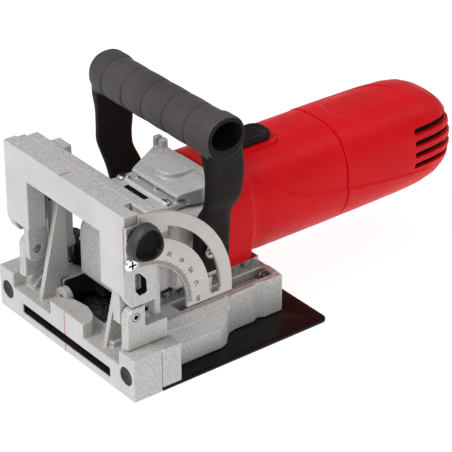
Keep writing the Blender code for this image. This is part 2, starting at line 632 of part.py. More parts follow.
def motor_housing():
    r = BARREL_RADIUS
    shell = loft("motor_housing", [barrel(r + 0.8, FLANGE_Y + 0.4), barrel(r + 0.8, 44), barrel(r, 49),
                                   barrel(r, SEAM_Y)])
    join(shell, box("switch_frame", (-13.5, 60, 92), (13.5, 98, 99.2), 1.2))
    inner = r - WALL
    cut(shell, loft("hollow", [barrel(inner, FLANGE_Y - 3), barrel(inner, SEAM_Y + 3)]))
    cut(shell, box("switch_slot", (-3.4, 68, 90), (3.4, 94, 102)))
    return dress(shell, RED_PLASTIC)


def rear_cap():
    r = BARREL_RADIUS
    rings = [barrel(r + 0.4, SEAM_Y + 0.4), barrel(r + 0.4, 150), barrel(r - 0.6, 205), barrel(r - 2.6, 218),
             barrel(r - 7, 226.5), barrel(r - 14, TAIL_Y)]
    cap = loft("rear_cap", rings)
    hollow = [barrel(r + 0.4 - WALL, SEAM_Y - 3), barrel(r - 3.6, 205), barrel(r - 7, 217),
              barrel(r - 13, 225)]
    cut(cap, loft("hollow", hollow))
    for k in range(4):
        z = MOTOR_Z - 6 + 7 * k
        for side in (-1, 1):
            cut(cap, side_box("vent", side, (17, 205, z), (42, 236, z + 3)))
    cut(cap, rod("cord_hole", "Y", GLAND_CENTRE, 6.6, 215, 236))
    return dress(cap, RED_PLASTIC)


def cable_gland():
    profile = [(6.2, 224), (6.2, 231.4), (7.6, 231.4), (7.6, 233.4), (6.4, 235), (3.6, 235), (3.6, 224)]
    return dress(turned("cable_gland", "Y", GLAND_CENTRE, profile, 24, ring=True), RUBBER)


def slide_switch():
    pad = box("slide_switch", (-10, 66, 99.6), (10, 92, 103.2), 1.4, 2)
    join(pad, box("stem", (-2.8, 79, 93.4), (2.8, 86, 101)))
    return dress(pad, BLACK_PLASTIC)


def switch_rod():
    arm = box("switch_rod", (-2.4, 79, 91.4), (2.4, 148, 93.1))
    return dress(arm, BLACK_PLASTIC)


def switch_body():
    return dress(box("switch_body", (-9, 158, 76), (9, 182, 91), 1.0), BLACK_PLASTIC)


# ---------------------------------------------------------------- drive
def armature_pieces():
    axis = (0, MOTOR_Z)
    shaft = turned("armature_shaft", "Y", axis, [(3.6, 11.6), (3.6, 28), (4, 28), (4, 206)], 20)
    teeth = []
    for k in range(PINION_TEETH):
        for part, radius in ((0.0, 6.2), (0.3, 7.2), (0.6, 7.2), (0.9, 6.2)):
            angle = math.tau * (k + part) / PINION_TEETH
            teeth.append((radius * math.cos(angle), MOTOR_Z + radius * math.sin(angle)))
    pinion = prism("pinion_gear", "Y", teeth, 12, 25)
    cut(pinion, rod("bore", "Y", axis, 3.9, 10, 27, 20))
    core = tube("armature_core", "Y", axis, 18, 4.3, 70, 124, 24)
    commutator = tube("commutator", "Y", axis, 11, 4.3, 140, 160)
    fan = turned("cooling_fan", "Y", axis, [(4.3, 44), (28.6, 44), (28.6, 46), (9, 47), (9, 53), (4.3, 53)],
                 32, ring=True)
    for k in range(8):
        angle = math.tau * k / 8
        blade = box("vane", (9.5, 45.2, -0.8), (28, 52, 0.8))
        blade.rotation_euler = (0, angle, 0)
        blade.location = Vector((0, 0, MOTOR_Z)) * MM
        bpy.context.view_layer.update()
        join(fan, blade)
    looks = ((shaft, STEEL), (pinion, STEEL), (core, COPPER), (commutator, BRASS), (fan, BLACK_PLASTIC))
    return [dress(piece, look) for piece, look in looks]


def motor_bearings():
    axis = (0, MOTOR_Z)
    front = tube("motor_bearing_front", "Y", axis, 13, 4.3, 30, 38.4)
    rear = tube("motor_bearing_rear", "Y", axis, 11, 4.3, 192, 200)
    return [dress(front, STEEL), dress(rear, STEEL)]


def stator_core():
    stator = tube("stator_core", "Y", (0, MOTOR_Z), 28.6, 19, 68, 126, 24)
    return dress(stator, DARK_STEEL)


def brush_gear():
    made = []
    for name, side in (("left", -1), ("right", 1)):
        holder = side_box(f"brush_holder_{name}", side, (14, 144, MOTOR_Z - 5.5), (29, 156, MOTOR_Z + 5.5))
        cut(holder, side_box("brush_way", side, (10, 146.4, MOTOR_Z - 3.3), (34, 153.6, MOTOR_Z + 3.3)))
        brush = side_box(f"carbon_brush_{name}", side, (11.4, 146.8, MOTOR_Z - 2.9),
                         (25, 153.2, MOTOR_Z + 2.9))
        made += [dress(holder, BRASS), dress(brush, CARBON)]
    return made


def crown_gear():
    """Face gear whose upper rim rises and falls as CROWN_TEETH radial teeth."""
    sides = 2 * CROWN_TEETH
    profile = [(6.3, 42), (14, 42), (24, 48), (24, 52.6), (16, 52.6), (6.3, 52.6)]
    rows = []
    bm = bmesh.new()
    for radius, z in profile:
        crest = 1.8 if z == 52.6 and radius > 10 else 0.0
        row = []
        for i in range(sides):
            angle = math.tau * i / sides
            x, y = radius * math.cos(angle), radius * math.sin(angle)
            row.append(bm.verts.new((x, y, z + crest * (i % 2))))
        rows.append(row)
    for low, high in zip(rows, rows[1:] + rows[:1]):
        for i in range(sides):
            j = (i + 1) % sides
            bm.faces.new((low[i], low[j], high[j]))
            bm.faces.new((low[i], high[j], high[i]))
    return make("crown_gear", bm)


def spindle_pieces():
    axis = (0, 0)
    bore = SPINDLE_RADIUS + GAP
    shaft = [(4.8, 3.4), (4.8, 10.4), (SPINDLE_RADIUS, 10.4), (SPINDLE_RADIUS, 84), (5.2, 84.6)]
    spindle = turned("blade_spindle", "Z", axis, shaft, 24)
    gear = crown_gear()
    flange = [(bore, 13.4), (14.6, 13.4), (14.6, 10.6), (10.8, 10.6), (10.8, 7.4), (bore, 7.4)]
    inner = turned("inner_flange", "Z", axis, flange, ring=True)
    washer = [(5.1, 2.9), (12, 2.9), (14, 3.6), (14, 5.7), (5.1, 5.7)]
    nut = turned("flange_nut", "Z", axis, washer, ring=True)
    looks = ((spindle, STEEL), (gear, STEEL), (inner, STEEL), (nut, DARK_STEEL))
    return [dress(piece, look) for piece, look in looks] + [saw_blade()]


def saw_blade():
    outline = []
    count = 6
    for k in range(count):
        start = 360 / count * k
        outline += arc((0, 0), 48.6, start, start + 40, 9)
        outline += arc((0, 0), 41.0, start + 47, start + 54, 3)
    blade = prism("saw_blade", "Z", outline, BLADE_Z - 1.3, BLADE_Z + 1.3)
    cut(blade, rod("bore", "Z", (0, 0), 11.1, 0, 20, 28))
    for k in range(count):
        tip = box("tip", (43.5, -2.6, BLADE_Z - 2), (BLADE_RADIUS - 0.3, -0.2, BLADE_Z + 2))
        tip.rotation_euler = (0, 0, math.radians(360 / count * k))
        bpy.context.view_layer.update()
        join(blade, tip)
    return dress(blade, STEEL)


def spindle_bearings():
    lower = tube("spindle_bearing_lower", "Z", (0, 0), 12, 6.3, 24, 33)
    upper = tube("spindle_bush_upper", "Z", (0, 0), 8, 6.3, 76, 84.2)
    return [dress(lower, STEEL), dress(upper, BRASS)]


# ---------------------------------------------------------------- handle
def handle_leg(side):
    """Leg from the grip down to the gear head."""
    rings = []
    for z, x, y, width, thick in LEG_STATIONS[side]:
        ring = []
        for i in range(16):
            angle = math.tau * (i + 0.5) / 16
            c, s = math.cos(angle), math.sin(angle)
            ring.append(Vector((side * (x + thick / 2 * math.copysign(abs(c) ** 0.45, c)),
                                y + width / 2 * math.copysign(abs(s) ** 0.45, s), z)))
        rings.append(ring)
    return loft("leg", rings)


def handle():
    grip = [(12.2, GRIP_ENDS[0]), (HANDLE_RADIUS, -46)]
    for k in (-40, -20, 0, 20, 40):
        grip += [(HANDLE_RADIUS, k - 1.6), (HANDLE_RADIUS - 1.3, k), (HANDLE_RADIUS, k + 1.6)]
    grip += [(HANDLE_RADIUS, 52), (12.2, GRIP_ENDS[1])]
    bail = turned("bail_handle", "X", (HANDLE_Y, HANDLE_Z), grip, 24)
    for side in (-1, 1):
        join(bail, handle_leg(side))
        ends = sorted((47 * side + 3, 70 * side))
        cut(bail, rod("end_hollow", "X", (HANDLE_Y, HANDLE_Z), 9.6, *ends, 24))
        cut(bail, rod("screw_hole", "X", HANDLE_BOSS, 2.6, *sorted((34 * side, 46 * side)), 14))
    return dress(bail, BLACK_PLASTIC)


def handle_screws():
    def screw(name, side):
        profile = [(2.1, 32), (2.1, 43.1), (4.8, 43.1), (4.8, 45), (3.4, 46.2)]
        profile = [(r, x * side) for r, x in profile]
        return dress(turned(f"handle_screw_{name}", "X", HANDLE_BOSS, profile, 18), STEEL)
    return both_sides(screw)


# ---------------------------------------------------------------- assembly
def build():
    clear_scene()
    base_front_block()
    base_casting()
    base_plate()
    sole_screws()
    grip_pads()
    guide_strips()
    return_springs()
    spring_anchors()
    dust_spout()
    turret_screw()
    body("depth_turret", (*TURRET, 28), [depth_turret()])

    carrier = [fence_carrier()] + hinge_pins()
    body("fence_carrier", (0, -32.2, 96), carrier)
    body("angle_clamp_knob", (CLAMP_FACE_X, CLAMP_Y, CLAMP_Z), [angle_clamp_knob()])
    body("lift_clamp_knob", (-60.2, *LIFT_CLAMP), [lift_clamp_knob()])
    body("fence", (0, PIVOT_Y, PIVOT_Z), [fence(), angle_quadrant(), quadrant_screw()])

    unit = [gear_head_housing(), gear_head_cover(), depth_rod(), motor_housing(), rear_cap(), cable_gland(),
            switch_body(), stator_core(), handle()]
    unit += cover_screws() + handle_screws() + motor_bearings() + spindle_bearings() + brush_gear()
    body("motor_unit", (0, 0, SLIDE_Z), unit)
    body("slide_switch", (0, 80, 99.6), [slide_switch(), switch_rod()])
    body("spindle_lock", (-34.3, *LOCK_CENTRE), [spindle_lock_button()])
    body("armature", (0, FLANGE_Y, MOTOR_Z), armature_pieces())
    body("spindle", (0, 0, BLADE_Z), spindle_pieces())


build()
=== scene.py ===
"""Looks for the biscuit joiner: its materials, detailed castings and mouldings, floor, light and camera.

Sizes are in millimetres in the frame's own axes, and become metres when a mesh is made. The origin lies
on the sole under the blade spindle, +X is the quadrant side, -Y points at the workpiece and +Z is up.
"""

import json
import math

import bmesh
import bpy
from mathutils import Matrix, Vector

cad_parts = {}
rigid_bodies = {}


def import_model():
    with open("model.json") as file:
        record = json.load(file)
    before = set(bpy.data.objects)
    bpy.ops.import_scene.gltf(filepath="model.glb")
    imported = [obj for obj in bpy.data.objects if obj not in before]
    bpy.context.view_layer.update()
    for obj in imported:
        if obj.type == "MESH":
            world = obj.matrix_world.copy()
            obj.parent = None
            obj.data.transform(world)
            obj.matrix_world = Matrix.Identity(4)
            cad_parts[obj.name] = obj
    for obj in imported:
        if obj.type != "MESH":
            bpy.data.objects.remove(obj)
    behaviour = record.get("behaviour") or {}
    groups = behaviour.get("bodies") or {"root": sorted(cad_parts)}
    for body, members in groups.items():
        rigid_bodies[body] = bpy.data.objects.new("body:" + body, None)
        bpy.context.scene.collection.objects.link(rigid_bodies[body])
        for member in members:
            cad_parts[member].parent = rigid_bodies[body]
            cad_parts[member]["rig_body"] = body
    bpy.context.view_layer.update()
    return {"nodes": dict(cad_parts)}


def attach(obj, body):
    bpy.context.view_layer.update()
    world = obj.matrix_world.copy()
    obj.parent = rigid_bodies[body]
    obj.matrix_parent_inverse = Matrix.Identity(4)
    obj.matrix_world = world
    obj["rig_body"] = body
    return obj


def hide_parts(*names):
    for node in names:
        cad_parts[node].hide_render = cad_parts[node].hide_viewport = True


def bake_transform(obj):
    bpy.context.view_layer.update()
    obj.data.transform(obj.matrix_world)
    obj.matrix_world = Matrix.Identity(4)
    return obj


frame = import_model()

MM = 0.001
SIDES = (("left", -1), ("right", 1))

# Base
FRONT_Y = -58.0                      # front face of the base
SLOT_HALF = 45.6                     # half the blade slot's width
SLOT_LOW, SLOT_HIGH = 4.9, 11.6      # heights of the slot's edges
CHAMBER_RADIUS, CHAMBER_TOP = 51.5, 13.8              # of the blade's chamber
PLUNGE = 22.0                        # travel of the blade's axis, from y 0 forwards
EAR_X = 25.0                         # x of the front block's ears, mirrored
SPRING_X = 36.0                      # x of the return springs, mirrored
SPOUT_CENTRE = (4, 13.4)             # y and z of the dust spout
TURRET = (-44, -12)                  # x and y of the turret's screw
DEPTH_ROD = (-44, 39)                # x and z of the depth rod

# Carrier, fence and quadrant
PIVOT = (-48.0, 48.8)                # y and z of the fence's hinge
HINGE_POSTS = {-1: (45.7, 52.4), 1: (53.0, 59.7)}     # x of each hinge post, from the middle outwards
CARRIER_BOSS = (40, 48.5)            # x and z of the carrier's bosses, mirrored
FENCE_FRONT_Y = -56.3                # front face of the fence
MARK_X = (-2.2, -1.6)                # x of the edges of the red mark on the fence's top
CLAMP_REACH, CLAMP_ANGLE = 54.2, math.radians(91)     # where the angle clamp sits about the hinge
ANGLE_CLAMP = (PIVOT[0] + CLAMP_REACH * math.cos(CLAMP_ANGLE), PIVOT[1] + CLAMP_REACH * math.sin(CLAMP_ANGLE))
LIFT_CLAMP = (-29.2, 72.0)           # y and z of the height clamp
QUADRANT_FACE = 62.8                 # x of the angle quadrant's outer face
QUADRANT_SCREW = (-53.8, 87.7)       # y and z
SCALE_START = 88.5                   # direction of the dial's 0, in degrees from straight back
TICK_START = 34.4                    # radius at which every tick starts
TICK_ENDS = ((15, 38.4), (5, 37.6), (1, 36.9))        # degrees between ticks and the radius they end at
TICK_HALF = 0.11                     # half a tick's width
NUMBER_RADIUS, NUMBER_SIZE = 41.4, 4.0

# Motor housing and rear cap
MOTOR_Z = 62.4                       # height of the motor's axis
BARREL = 33.9                        # radius of the motor housing
CROWN, SQUARENESS = 1.045, 2.7       # the top's height over its half width, and its superellipse's power
CREASE = 0.85                        # height of the step that sweeps down the sides
FLANGE_Y, SEAM_Y = 37.4, 132.0       # front end of the housing, and its joint with the rear cap
GLAND_CENTRE = (0, MOTOR_Z - 14)     # x and z of the cord gland

# Handle and screws
GRIP_Y, GRIP_Z, GRIP_RADIUS = 14.0, 143.5, 13.5
HANDLE_BOSS = (18.0, 62.0)           # y and z of each leg's screw
COVER_SCREW = (20.5, 1.5)            # x and y, mirrored
CROSS_ARM, CROSS_HALF = 0.62, 0.14   # length and half width of a screw's cross, in head radii


# -------- materials
def shader(name, metallic=0.0, roughness=0.5, specular=0.5):
    """A new material with its Principled node; even values are set on its sockets."""
    made = bpy.data.materials.new(name)
    made.use_nodes = True
    bsdf = made.node_tree.nodes["Principled BSDF"]
    bsdf.inputs["Metallic"].default_value = metallic
    bsdf.inputs["Roughness"].default_value = roughness
    bsdf.inputs["Specular IOR Level"].default_value = specular
    return made, made.node_tree, bsdf


def noise(tree, scale_mm, stretch=(1, 1, 1), detail=3.0):
    """Noise whose features are about scale_mm across, in object space."""
    coordinates = tree.nodes.new("ShaderNodeTexCoord")
    mapping = tree.nodes.new("ShaderNodeMapping")
    mapping.inputs["Scale"].default_value = stretch
    tree.links.new(coordinates.outputs["Object"], mapping.inputs["Vector"])
    node = tree.nodes.new("ShaderNodeTexNoise")
    node.inputs["Scale"].default_value = 1000.0 / scale_mm
    node.inputs["Detail"].default_value = detail
    tree.links.new(mapping.outputs["Vector"], node.inputs["Vector"])
    return node.outputs["Fac"]


def spread(tree, value, low, high, start=0.3, end=0.7):
    """Map a texture value to a range."""
    node = tree.nodes.new("ShaderNodeMapRange")
    node.inputs["From Min"].default_value = start
    node.inputs["From Max"].default_value = end
    node.inputs["To Min"].default_value = low
    node.inputs["To Max"].default_value = high
    tree.links.new(value, node.inputs["Value"])
    return node.outputs["Result"]


def blend_colours(tree, factor, first, second):
    node = tree.nodes.new("ShaderNodeMix")
    node.data_type = "RGBA"
    for socket, colour in ((node.inputs[6], first), (node.inputs[7], second)):
        if isinstance(colour, tuple):
            socket.default_value = (*colour, 1.0)
        else:
            tree.links.new(colour, socket)
    tree.links.new(factor, node.inputs[0])
    return node.outputs[2]


def add_bump(tree, bsdf, heights):
    """Chain bumps from (height, distance in mm, strength) onto the shader's normal."""
    normal = None
    for height, distance, strength in heights:
        node = tree.nodes.new("ShaderNodeBump")
        node.inputs["Distance"].default_value = distance * MM
        node.inputs["Strength"].default_value = strength
        tree.links.new(height, node.inputs["Height"])
        if normal:
            tree.links.new(normal, node.inputs["Normal"])
        normal = node.outputs["Normal"]
    tree.links.new(normal, bsdf.inputs["Normal"])


def edge_light(tree, colour, worn_and_highlit):
    """Colour that turns to the lighter edge colour along convex edges: partly wear, partly a painted
    highlight.
    """
    geometry = tree.nodes.new("ShaderNodeNewGeometry")
    factor = spread(tree, geometry.outputs["Pointiness"], 0.0, 1.0, 0.52, 0.6)
    return blend_colours(tree, factor, colour, worn_and_highlit)


def cast_metal(name, dark, light, metallic, rough, grain_mm=0.7, strength=0.35, worn_and_highlit=(0.86, 0.85, 0.84)):
    """Blasted die-cast aluminium: a fine grain, faint clouds and brighter edges, partly worn and partly a
    painted highlight.
    """
    made, tree, bsdf = shader(name, metallic=metallic)
    clouds = noise(tree, 16.0, detail=5.0)
    specks = noise(tree, grain_mm * 1.5, detail=4.0)
    grained = blend_colours(tree, spread(tree, specks, 0, 1, 0.36, 0.64), dark, light)
    clouded = blend_colours(tree, spread(tree, clouds, 0, 0.22), grained, light)
    tree.links.new(edge_light(tree, clouded, worn_and_highlit), bsdf.inputs["Base Color"])
    tree.links.new(spread(tree, specks, rough[0], rough[1]), bsdf.inputs["Roughness"])
    grain = noise(tree, grain_mm, detail=2.0)
    add_bump(tree, bsdf, [(clouds, 0.5, 0.12), (grain, 0.12, strength)])
    return made


def machined_metal(name, dark, light, metallic, rough, stretch, line_mm=0.5):
    """Milled or brushed metal: fine lines along one direction."""
    made, tree, bsdf = shader(name, metallic=metallic)
    lines = noise(tree, line_mm, stretch=stretch, detail=2.0)
    clouds = noise(tree, 22.0, detail=4.0)
    base = blend_colours(tree, spread(tree, clouds, 0, 1), dark, light)
    tree.links.new(blend_colours(tree, spread(tree, lines, 0, 0.35), base, dark), bsdf.inputs["Base Color"])
    tree.links.new(spread(tree, lines, rough[0], rough[1]), bsdf.inputs["Roughness"])
    add_bump(tree, bsdf, [(lines, 0.03, 0.25)])
    return made


def moulded(name, dark, light, rough, grain_mm, depth_mm, specular):
    """Moulded plastic or rubber: slight mottling and a fine spark-eroded grain."""
    made, tree, bsdf = shader(name, specular=specular)
    clouds = noise(tree, 30.0, detail=4.0)
    tree.links.new(blend_colours(tree, spread(tree, clouds, 0, 1), dark, light), bsdf.inputs["Base Color"])
    grain = noise(tree, grain_mm, detail=3.0)
    smears = noise(tree, 9.0, detail=3.0)
    tree.links.new(spread(tree, smears, rough[0], rough[1]), bsdf.inputs["Roughness"])
    add_bump(tree, bsdf, [(grain, depth_mm, 0.5)])
    return made


def bare_steel(name, dark, light, rough):
    """Turned or plated steel with faint stains."""
    made, tree, bsdf = shader(name, metallic=1.0)
    stains = noise(tree, 3.0, detail=4.0)
    tree.links.new(blend_colours(tree, spread(tree, stains, 0, 1), dark, light), bsdf.inputs["Base Color"])
    tree.links.new(spread(tree, stains, rough[0], rough[1]), bsdf.inputs["Roughness"])
    fine = noise(tree, 0.4, detail=2.0)
    add_bump(tree, bsdf, [(fine, 0.02, 0.3)])
    return made


def winding(name):
    """Varnished copper wires laid along the motor's axis."""
    made, tree, bsdf = shader(name, metallic=0.9)
    wires = noise(tree, 0.9, stretch=(1, 0.08, 1), detail=1.0)
    colour = blend_colours(tree, spread(tree, wires, 0, 1), (0.25, 0.08, 0.03), (0.8, 0.38, 0.18))
    tree.links.new(colour, bsdf.inputs["Base Color"])
    tree.links.new(spread(tree, wires, 0.25, 0.5), bsdf.inputs["Roughness"])
    add_bump(tree, bsdf, [(wires, 0.3, 0.6)])
    return made


CAST = cast_metal("cast_aluminium", (0.42, 0.408, 0.40), (0.62, 0.605, 0.59), 0.3, (0.4, 0.56), strength=0.45)
MACHINED = machined_metal("machined_aluminium", (0.53, 0.515, 0.52), (0.62, 0.605, 0.61), 0.2, (0.45, 0.58),
                          (0.12, 1, 1))
PLATED = machined_metal("plated_steel", (0.49, 0.455, 0.435), (0.60, 0.565, 0.54), 0.35, (0.34, 0.46),
                        (1, 0.1, 1), 0.6)
STEEL = bare_steel("steel", (0.42, 0.42, 0.43), (0.68, 0.68, 0.69), (0.2, 0.42))
BRIGHT_STEEL = bare_steel("bright_steel", (0.80, 0.80, 0.80), (0.93, 0.93, 0.93), (0.2, 0.34))
BLACK_STEEL = moulded("black_lacquer", (0.003, 0.003, 0.003), (0.006, 0.006, 0.006), (0.26, 0.4), 0.5, 0.02,
                      specular=0.14)
BLACK = moulded("black_plastic", (0.009, 0.0065, 0.006), (0.014, 0.0105, 0.0095), (0.42, 0.56), 0.35, 0.05,
                specular=0.1)
GRIP = moulded("soft_grip", (0.056, 0.051, 0.049), (0.080, 0.074, 0.071), (0.46, 0.58), 0.45, 0.06,
               specular=0.15)
RED = moulded("red_plastic", (0.60, 0.004, 0.008), (0.68, 0.005, 0.011), (0.36, 0.48), 0.5, 0.02,
              specular=0.1)
RUBBER = moulded("rubber", (0.014, 0.013, 0.013), (0.026, 0.025, 0.025), (0.45, 0.6), 0.6, 0.05, specular=0.3)
COPPER = winding("copper_winding")
BRASS = bare_steel("brass", (0.62, 0.42, 0.16), (0.8, 0.6, 0.28), (0.25, 0.45))
CARBON = moulded("carbon", (0.006, 0.006, 0.006), (0.012, 0.012, 0.012), (0.5, 0.7), 0.3, 0.04, specular=0.1)
RED_PAINT = moulded("red_mark", (0.42, 0.03, 0.03), (0.5, 0.05, 0.05), (0.4, 0.5), 0.3, 0.01, specular=0.2)
KNOB = moulded("knob_plastic", (0.034, 0.032, 0.030), (0.046, 0.043, 0.041), (0.42, 0.52), 0.4, 0.03,
               specular=0.4)
# near-black painted shade for the walls of slots, wells, hollows and recesses
PAINTED_SHADE = moulded("painted_shade_material", (0.010, 0.0095, 0.009), (0.018, 0.017, 0.016), (0.6, 0.75), 0.5, 0.03,
                specular=0.1)
INK = moulded("scale_ink", (0.03, 0.026, 0.024), (0.06, 0.05, 0.045), (0.5, 0.6), 0.3, 0.01, specular=0.2)


# -------- shape helpers
def new_object(name, data):
    """Object around a mesh, curve, light or camera, put into the scene."""
    made = bpy.data.objects.new(name, data)
    bpy.context.scene.collection.objects.link(made)
    return made


def make(name, bm, scale=MM):
    """Turn a bmesh in millimetres into an object in metres, faces pointing out."""
    bmesh.ops.recalc_face_normals(bm, faces=bm.faces)
    bmesh.ops.scale(bm, vec=(scale, scale, scale), verts=bm.verts)
    mesh = bpy.data.meshes.new(name)
    bm.to_mesh(mesh)
    bm.free()
    return new_object(name, mesh)


def place(axis, first, second, along):
    """Point from two section coordinates and a distance along an axis."""
    if axis == "X":
        return Vector((along, first, second))
    if axis == "Y":
        return Vector((first, along, second))
    return Vector((first, second, along))


def loft(name, rings):
    """Skin through rings of equal point count, with both ends capped."""
    bm = bmesh.new()
    rows = [[bm.verts.new(point) for point in ring] for ring in rings]
    count = len(rings[0])
    for low, high in zip(rows, rows[1:]):
        for i in range(count):
            j = (i + 1) % count
            bm.faces.new((low[i], low[j], high[j], high[i]))
    bm.faces.new(rows[0])
    bm.faces.new(rows[-1])
    return make(name, bm)


def prism(name, axis, outline, low, high):
    """Extrude an outline along an axis."""
    return loft(name, [[place(axis, u, v, low) for u, v in outline],
                       [place(axis, u, v, high) for u, v in outline]])


def box(name, low, high, bevel=0.0):
    bm = bmesh.new()
    bmesh.ops.create_cube(bm, size=1.0)
    bmesh.ops.scale(bm, vec=[b - a for a, b in zip(low, high)], verts=bm.verts)
    bmesh.ops.translate(bm, vec=[(a + b) / 2 for a, b in zip(low, high)], verts=bm.verts)
    if bevel:
        bmesh.ops.bevel(bm, geom=bm.edges[:], offset=bevel, segments=2, profile=0.5, affect="EDGES")
    return make(name, bm)


def turned(name, axis, centre, profile, sides=48, ring=False):
    """Revolve (radius, distance) pairs about an axis. A ring's profile closes on itself."""
    bm = bmesh.new()
    rows = []
    for radius, along in profile:
        angles = [0.0] if radius == 0 else [math.tau * i / sides for i in range(sides)]
        rows.append([bm.verts.new(place(axis, centre[0] + radius * math.cos(a),
                                        centre[1] + radius * math.sin(a), along)) for a in angles])
    pairs = list(zip(rows, rows[1:]))
    if ring:
        pairs.append((rows[-1], rows[0]))
    for low, high in pairs:
        for i in range(sides):
            j = (i + 1) % sides
            corners = [low[i % len(low)], low[j % len(low)], high[j % len(high)], high[i % len(high)]]
            unique = list(dict.fromkeys(corners))
            if len(unique) > 2:
                bm.faces.new(unique)
    if not ring:
        for row in (rows[0], rows[-1]):
            if len(row) > 1:
                bm.faces.new(row)
    return make(name, bm)


def rod(name, axis, centre, radius, low, high, sides=32):
    return turned(name, axis, centre, [(radius, low), (radius, high)], sides)


def arc(centre, radius, start, end, count):
    """Points of an arc, angles in degrees."""
    steps = [math.radians(start + (end - start) * i / (count - 1)) for i in range(count)]
    return [(centre[0] + radius * math.cos(a), centre[1] + radius * math.sin(a)) for a in steps]


def apply_modifiers(piece):
    """Bake the piece's modifiers into its mesh."""
    depsgraph = bpy.context.evaluated_depsgraph_get()
    result = bpy.data.meshes.new_from_object(piece.evaluated_get(depsgraph))
    piece.modifiers.clear()
    piece.data = result
    return piece


def combine(target, operation, tools):
    """Boolean the tools into the target and remove them."""
    for tool in tools:
        step = target.modifiers.new("step", "BOOLEAN")
        step.operation = operation
        step.object = tool
        apply_modifiers(target)
        bpy.data.objects.remove(tool, do_unlink=True)
    return target


def cut(target, *tools):
    return combine(target, "DIFFERENCE", tools)


def join(target, *tools):
    return combine(target, "UNION", tools)


def gather(target, tools):
    """Put the tools' meshes into the target's without a boolean."""
    bm = bmesh.new()
    bm.from_mesh(target.data)
    for tool in tools:
        bm.from_mesh(tool.data)
        bpy.data.objects.remove(tool, do_unlink=True)
    bm.to_mesh(target.data)
    bm.free()
    return target


def smooth_shade(piece, angle=32):
    piece.data.shade_smooth()
    piece.data.set_sharp_from_angle(angle=math.radians(angle))
    return piece


def solid_of(node, name, whole=False):
    """A welded copy of a CAD node's solid. `whole` merges the triangles of its flat faces."""
    bm = bmesh.new()
    bm.from_mesh(frame["nodes"][node].data)
    bmesh.ops.remove_doubles(bm, verts=bm.verts, dist=2e-6)
    if whole:
        bmesh.ops.dissolve_limit(bm, angle_limit=math.radians(0.5), verts=bm.verts, edges=bm.edges)
    return make(name, bm, scale=1.0)


def soften(piece, voxel, passes):
    """One skin over everything in the piece, its edges and corners rounded like a casting's."""
    skin = piece.modifiers.new("skin", "REMESH")
    skin.mode = "VOXEL"
    skin.voxel_size = voxel * MM
    skin.use_smooth_shade = True
    rounding = piece.modifiers.new("rounding", "SMOOTH")
    rounding.factor = 0.5
    rounding.iterations = passes
    return apply_modifiers(piece)


def crisp(piece, width, segments):
    """Narrow rounded edges, as on sheet metal and turned parts."""
    edge = piece.modifiers.new("edge", "BEVEL")
    edge.width = width * MM
    edge.segments = segments
    edge.limit_method = "ANGLE"
    edge.angle_limit = math.radians(32)
    edge.use_clamp_overlap = True
    apply_modifiers(piece)
    return smooth_shade(piece, 40)


def finish(piece, materials, *nodes, replace=True, slot=None):
    """Colour a piece and fix it to the body of the nodes it stands for or sits on."""
    piece.data.materials.clear()
    for material in materials if isinstance(materials, list) else [materials]:
        piece.data.materials.append(material)
    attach(piece, frame["nodes"][nodes[0]]["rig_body"])
    if replace:
        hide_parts(*nodes)
    return piece


def mark_faces(piece, index, test):
    """Give the faces that pass test(normal, centre in mm) another of the piece's materials."""
    for face in piece.data.polygons:
        if test(face.normal, face.center / MM):
            face.material_index = index


def mirrored(side, near, far):
    """Lower and higher x of a stretch that is given for the right side."""
    return sorted((near * side, far * side))


def side_box(name, side, low, high, bevel=0.0):
    """Box given for the right side, built on either side."""
    low_x, high_x = mirrored(side, low[0], high[0])
    return box(name, (low_x, low[1], low[2]), (high_x, high[1], high[2]), bevel)


def signed_power(value, power):
    """A power that keeps its value's sign."""
    return math.copysign(abs(value) ** power, value)


def eased(points, value):
    """Values at a position on the smooth curve through (position, value, ...) rows."""
    last = len(points) - 1
    k = max(i for i in range(last) if i == 0 or points[i][0] <= value)

    def slope(i, column):
        before, after = points[max(i - 1, 0)], points[min(i + 1, last)]
        return (after[column] - before[column]) / (after[0] - before[0])

    start, end = points[k], points[k + 1]
    span = end[0] - start[0]
    t = min(max((value - start[0]) / span, 0.0), 1.0)
    h01 = t * t * (3 - 2 * t)
    h10, h11 = t * (1 - t) ** 2, t * t * (t - 1)
    return [start[c] + (end[c] - start[c]) * h01 + span * (h10 * slope(k, c) + h11 * slope(k + 1, c))
            for c in range(1, len(start))]


# -------- base
def front_block():
    """Front casting of the base, with feet under its rails, ears and a milled front face."""
    node = "base_front_block"
    block = solid_of(node, "front_block")
    fillets = []
    for side in (-1, 1):
        foot = [(-50, 17), (-37.8, 17), (-37.8, 27), (-42, 27), (-46, 24), (-49, 20.5)]
        fillets.append(prism("foot", "X", foot, *mirrored(side, 44.5, 55.5)))
        fillets.append(side_box("foot_web", side, (34, -50, 16), (38.6, -38, 22), 0.8))
        fillets.append(rod("ear_rim", "Y", (EAR_X * side, 19.6), 6.6, -42.9, -38.2))
    cut(block, box("centre_groove", (-0.35, FRONT_Y - 1, -1), (0.35, FRONT_Y + 0.35, 30)))
    gather(block, fillets)
    soften(block, 0.45, 5)
    cut(block, *[rod("ear_bore", "Y", (EAR_X * side, 19.8), 2.4, -46, -34) for side in (-1, 1)])
    smooth_shade(block, 38)
    finish(block, [CAST, MACHINED, PAINTED_SHADE], node)
    mark_faces(block, 1, lambda normal, centre: normal.y < -0.85 and centre.y < FRONT_Y + 0.5)
    # painted shade on the walls of the blade slot
    mark_faces(block, 2, lambda normal, centre: abs(centre.x) < SLOT_HALF + 0.6 and centre.y > FRONT_Y + 0.9
               and SLOT_LOW - 0.6 < centre.z < SLOT_HIGH + 0.6)
    return block


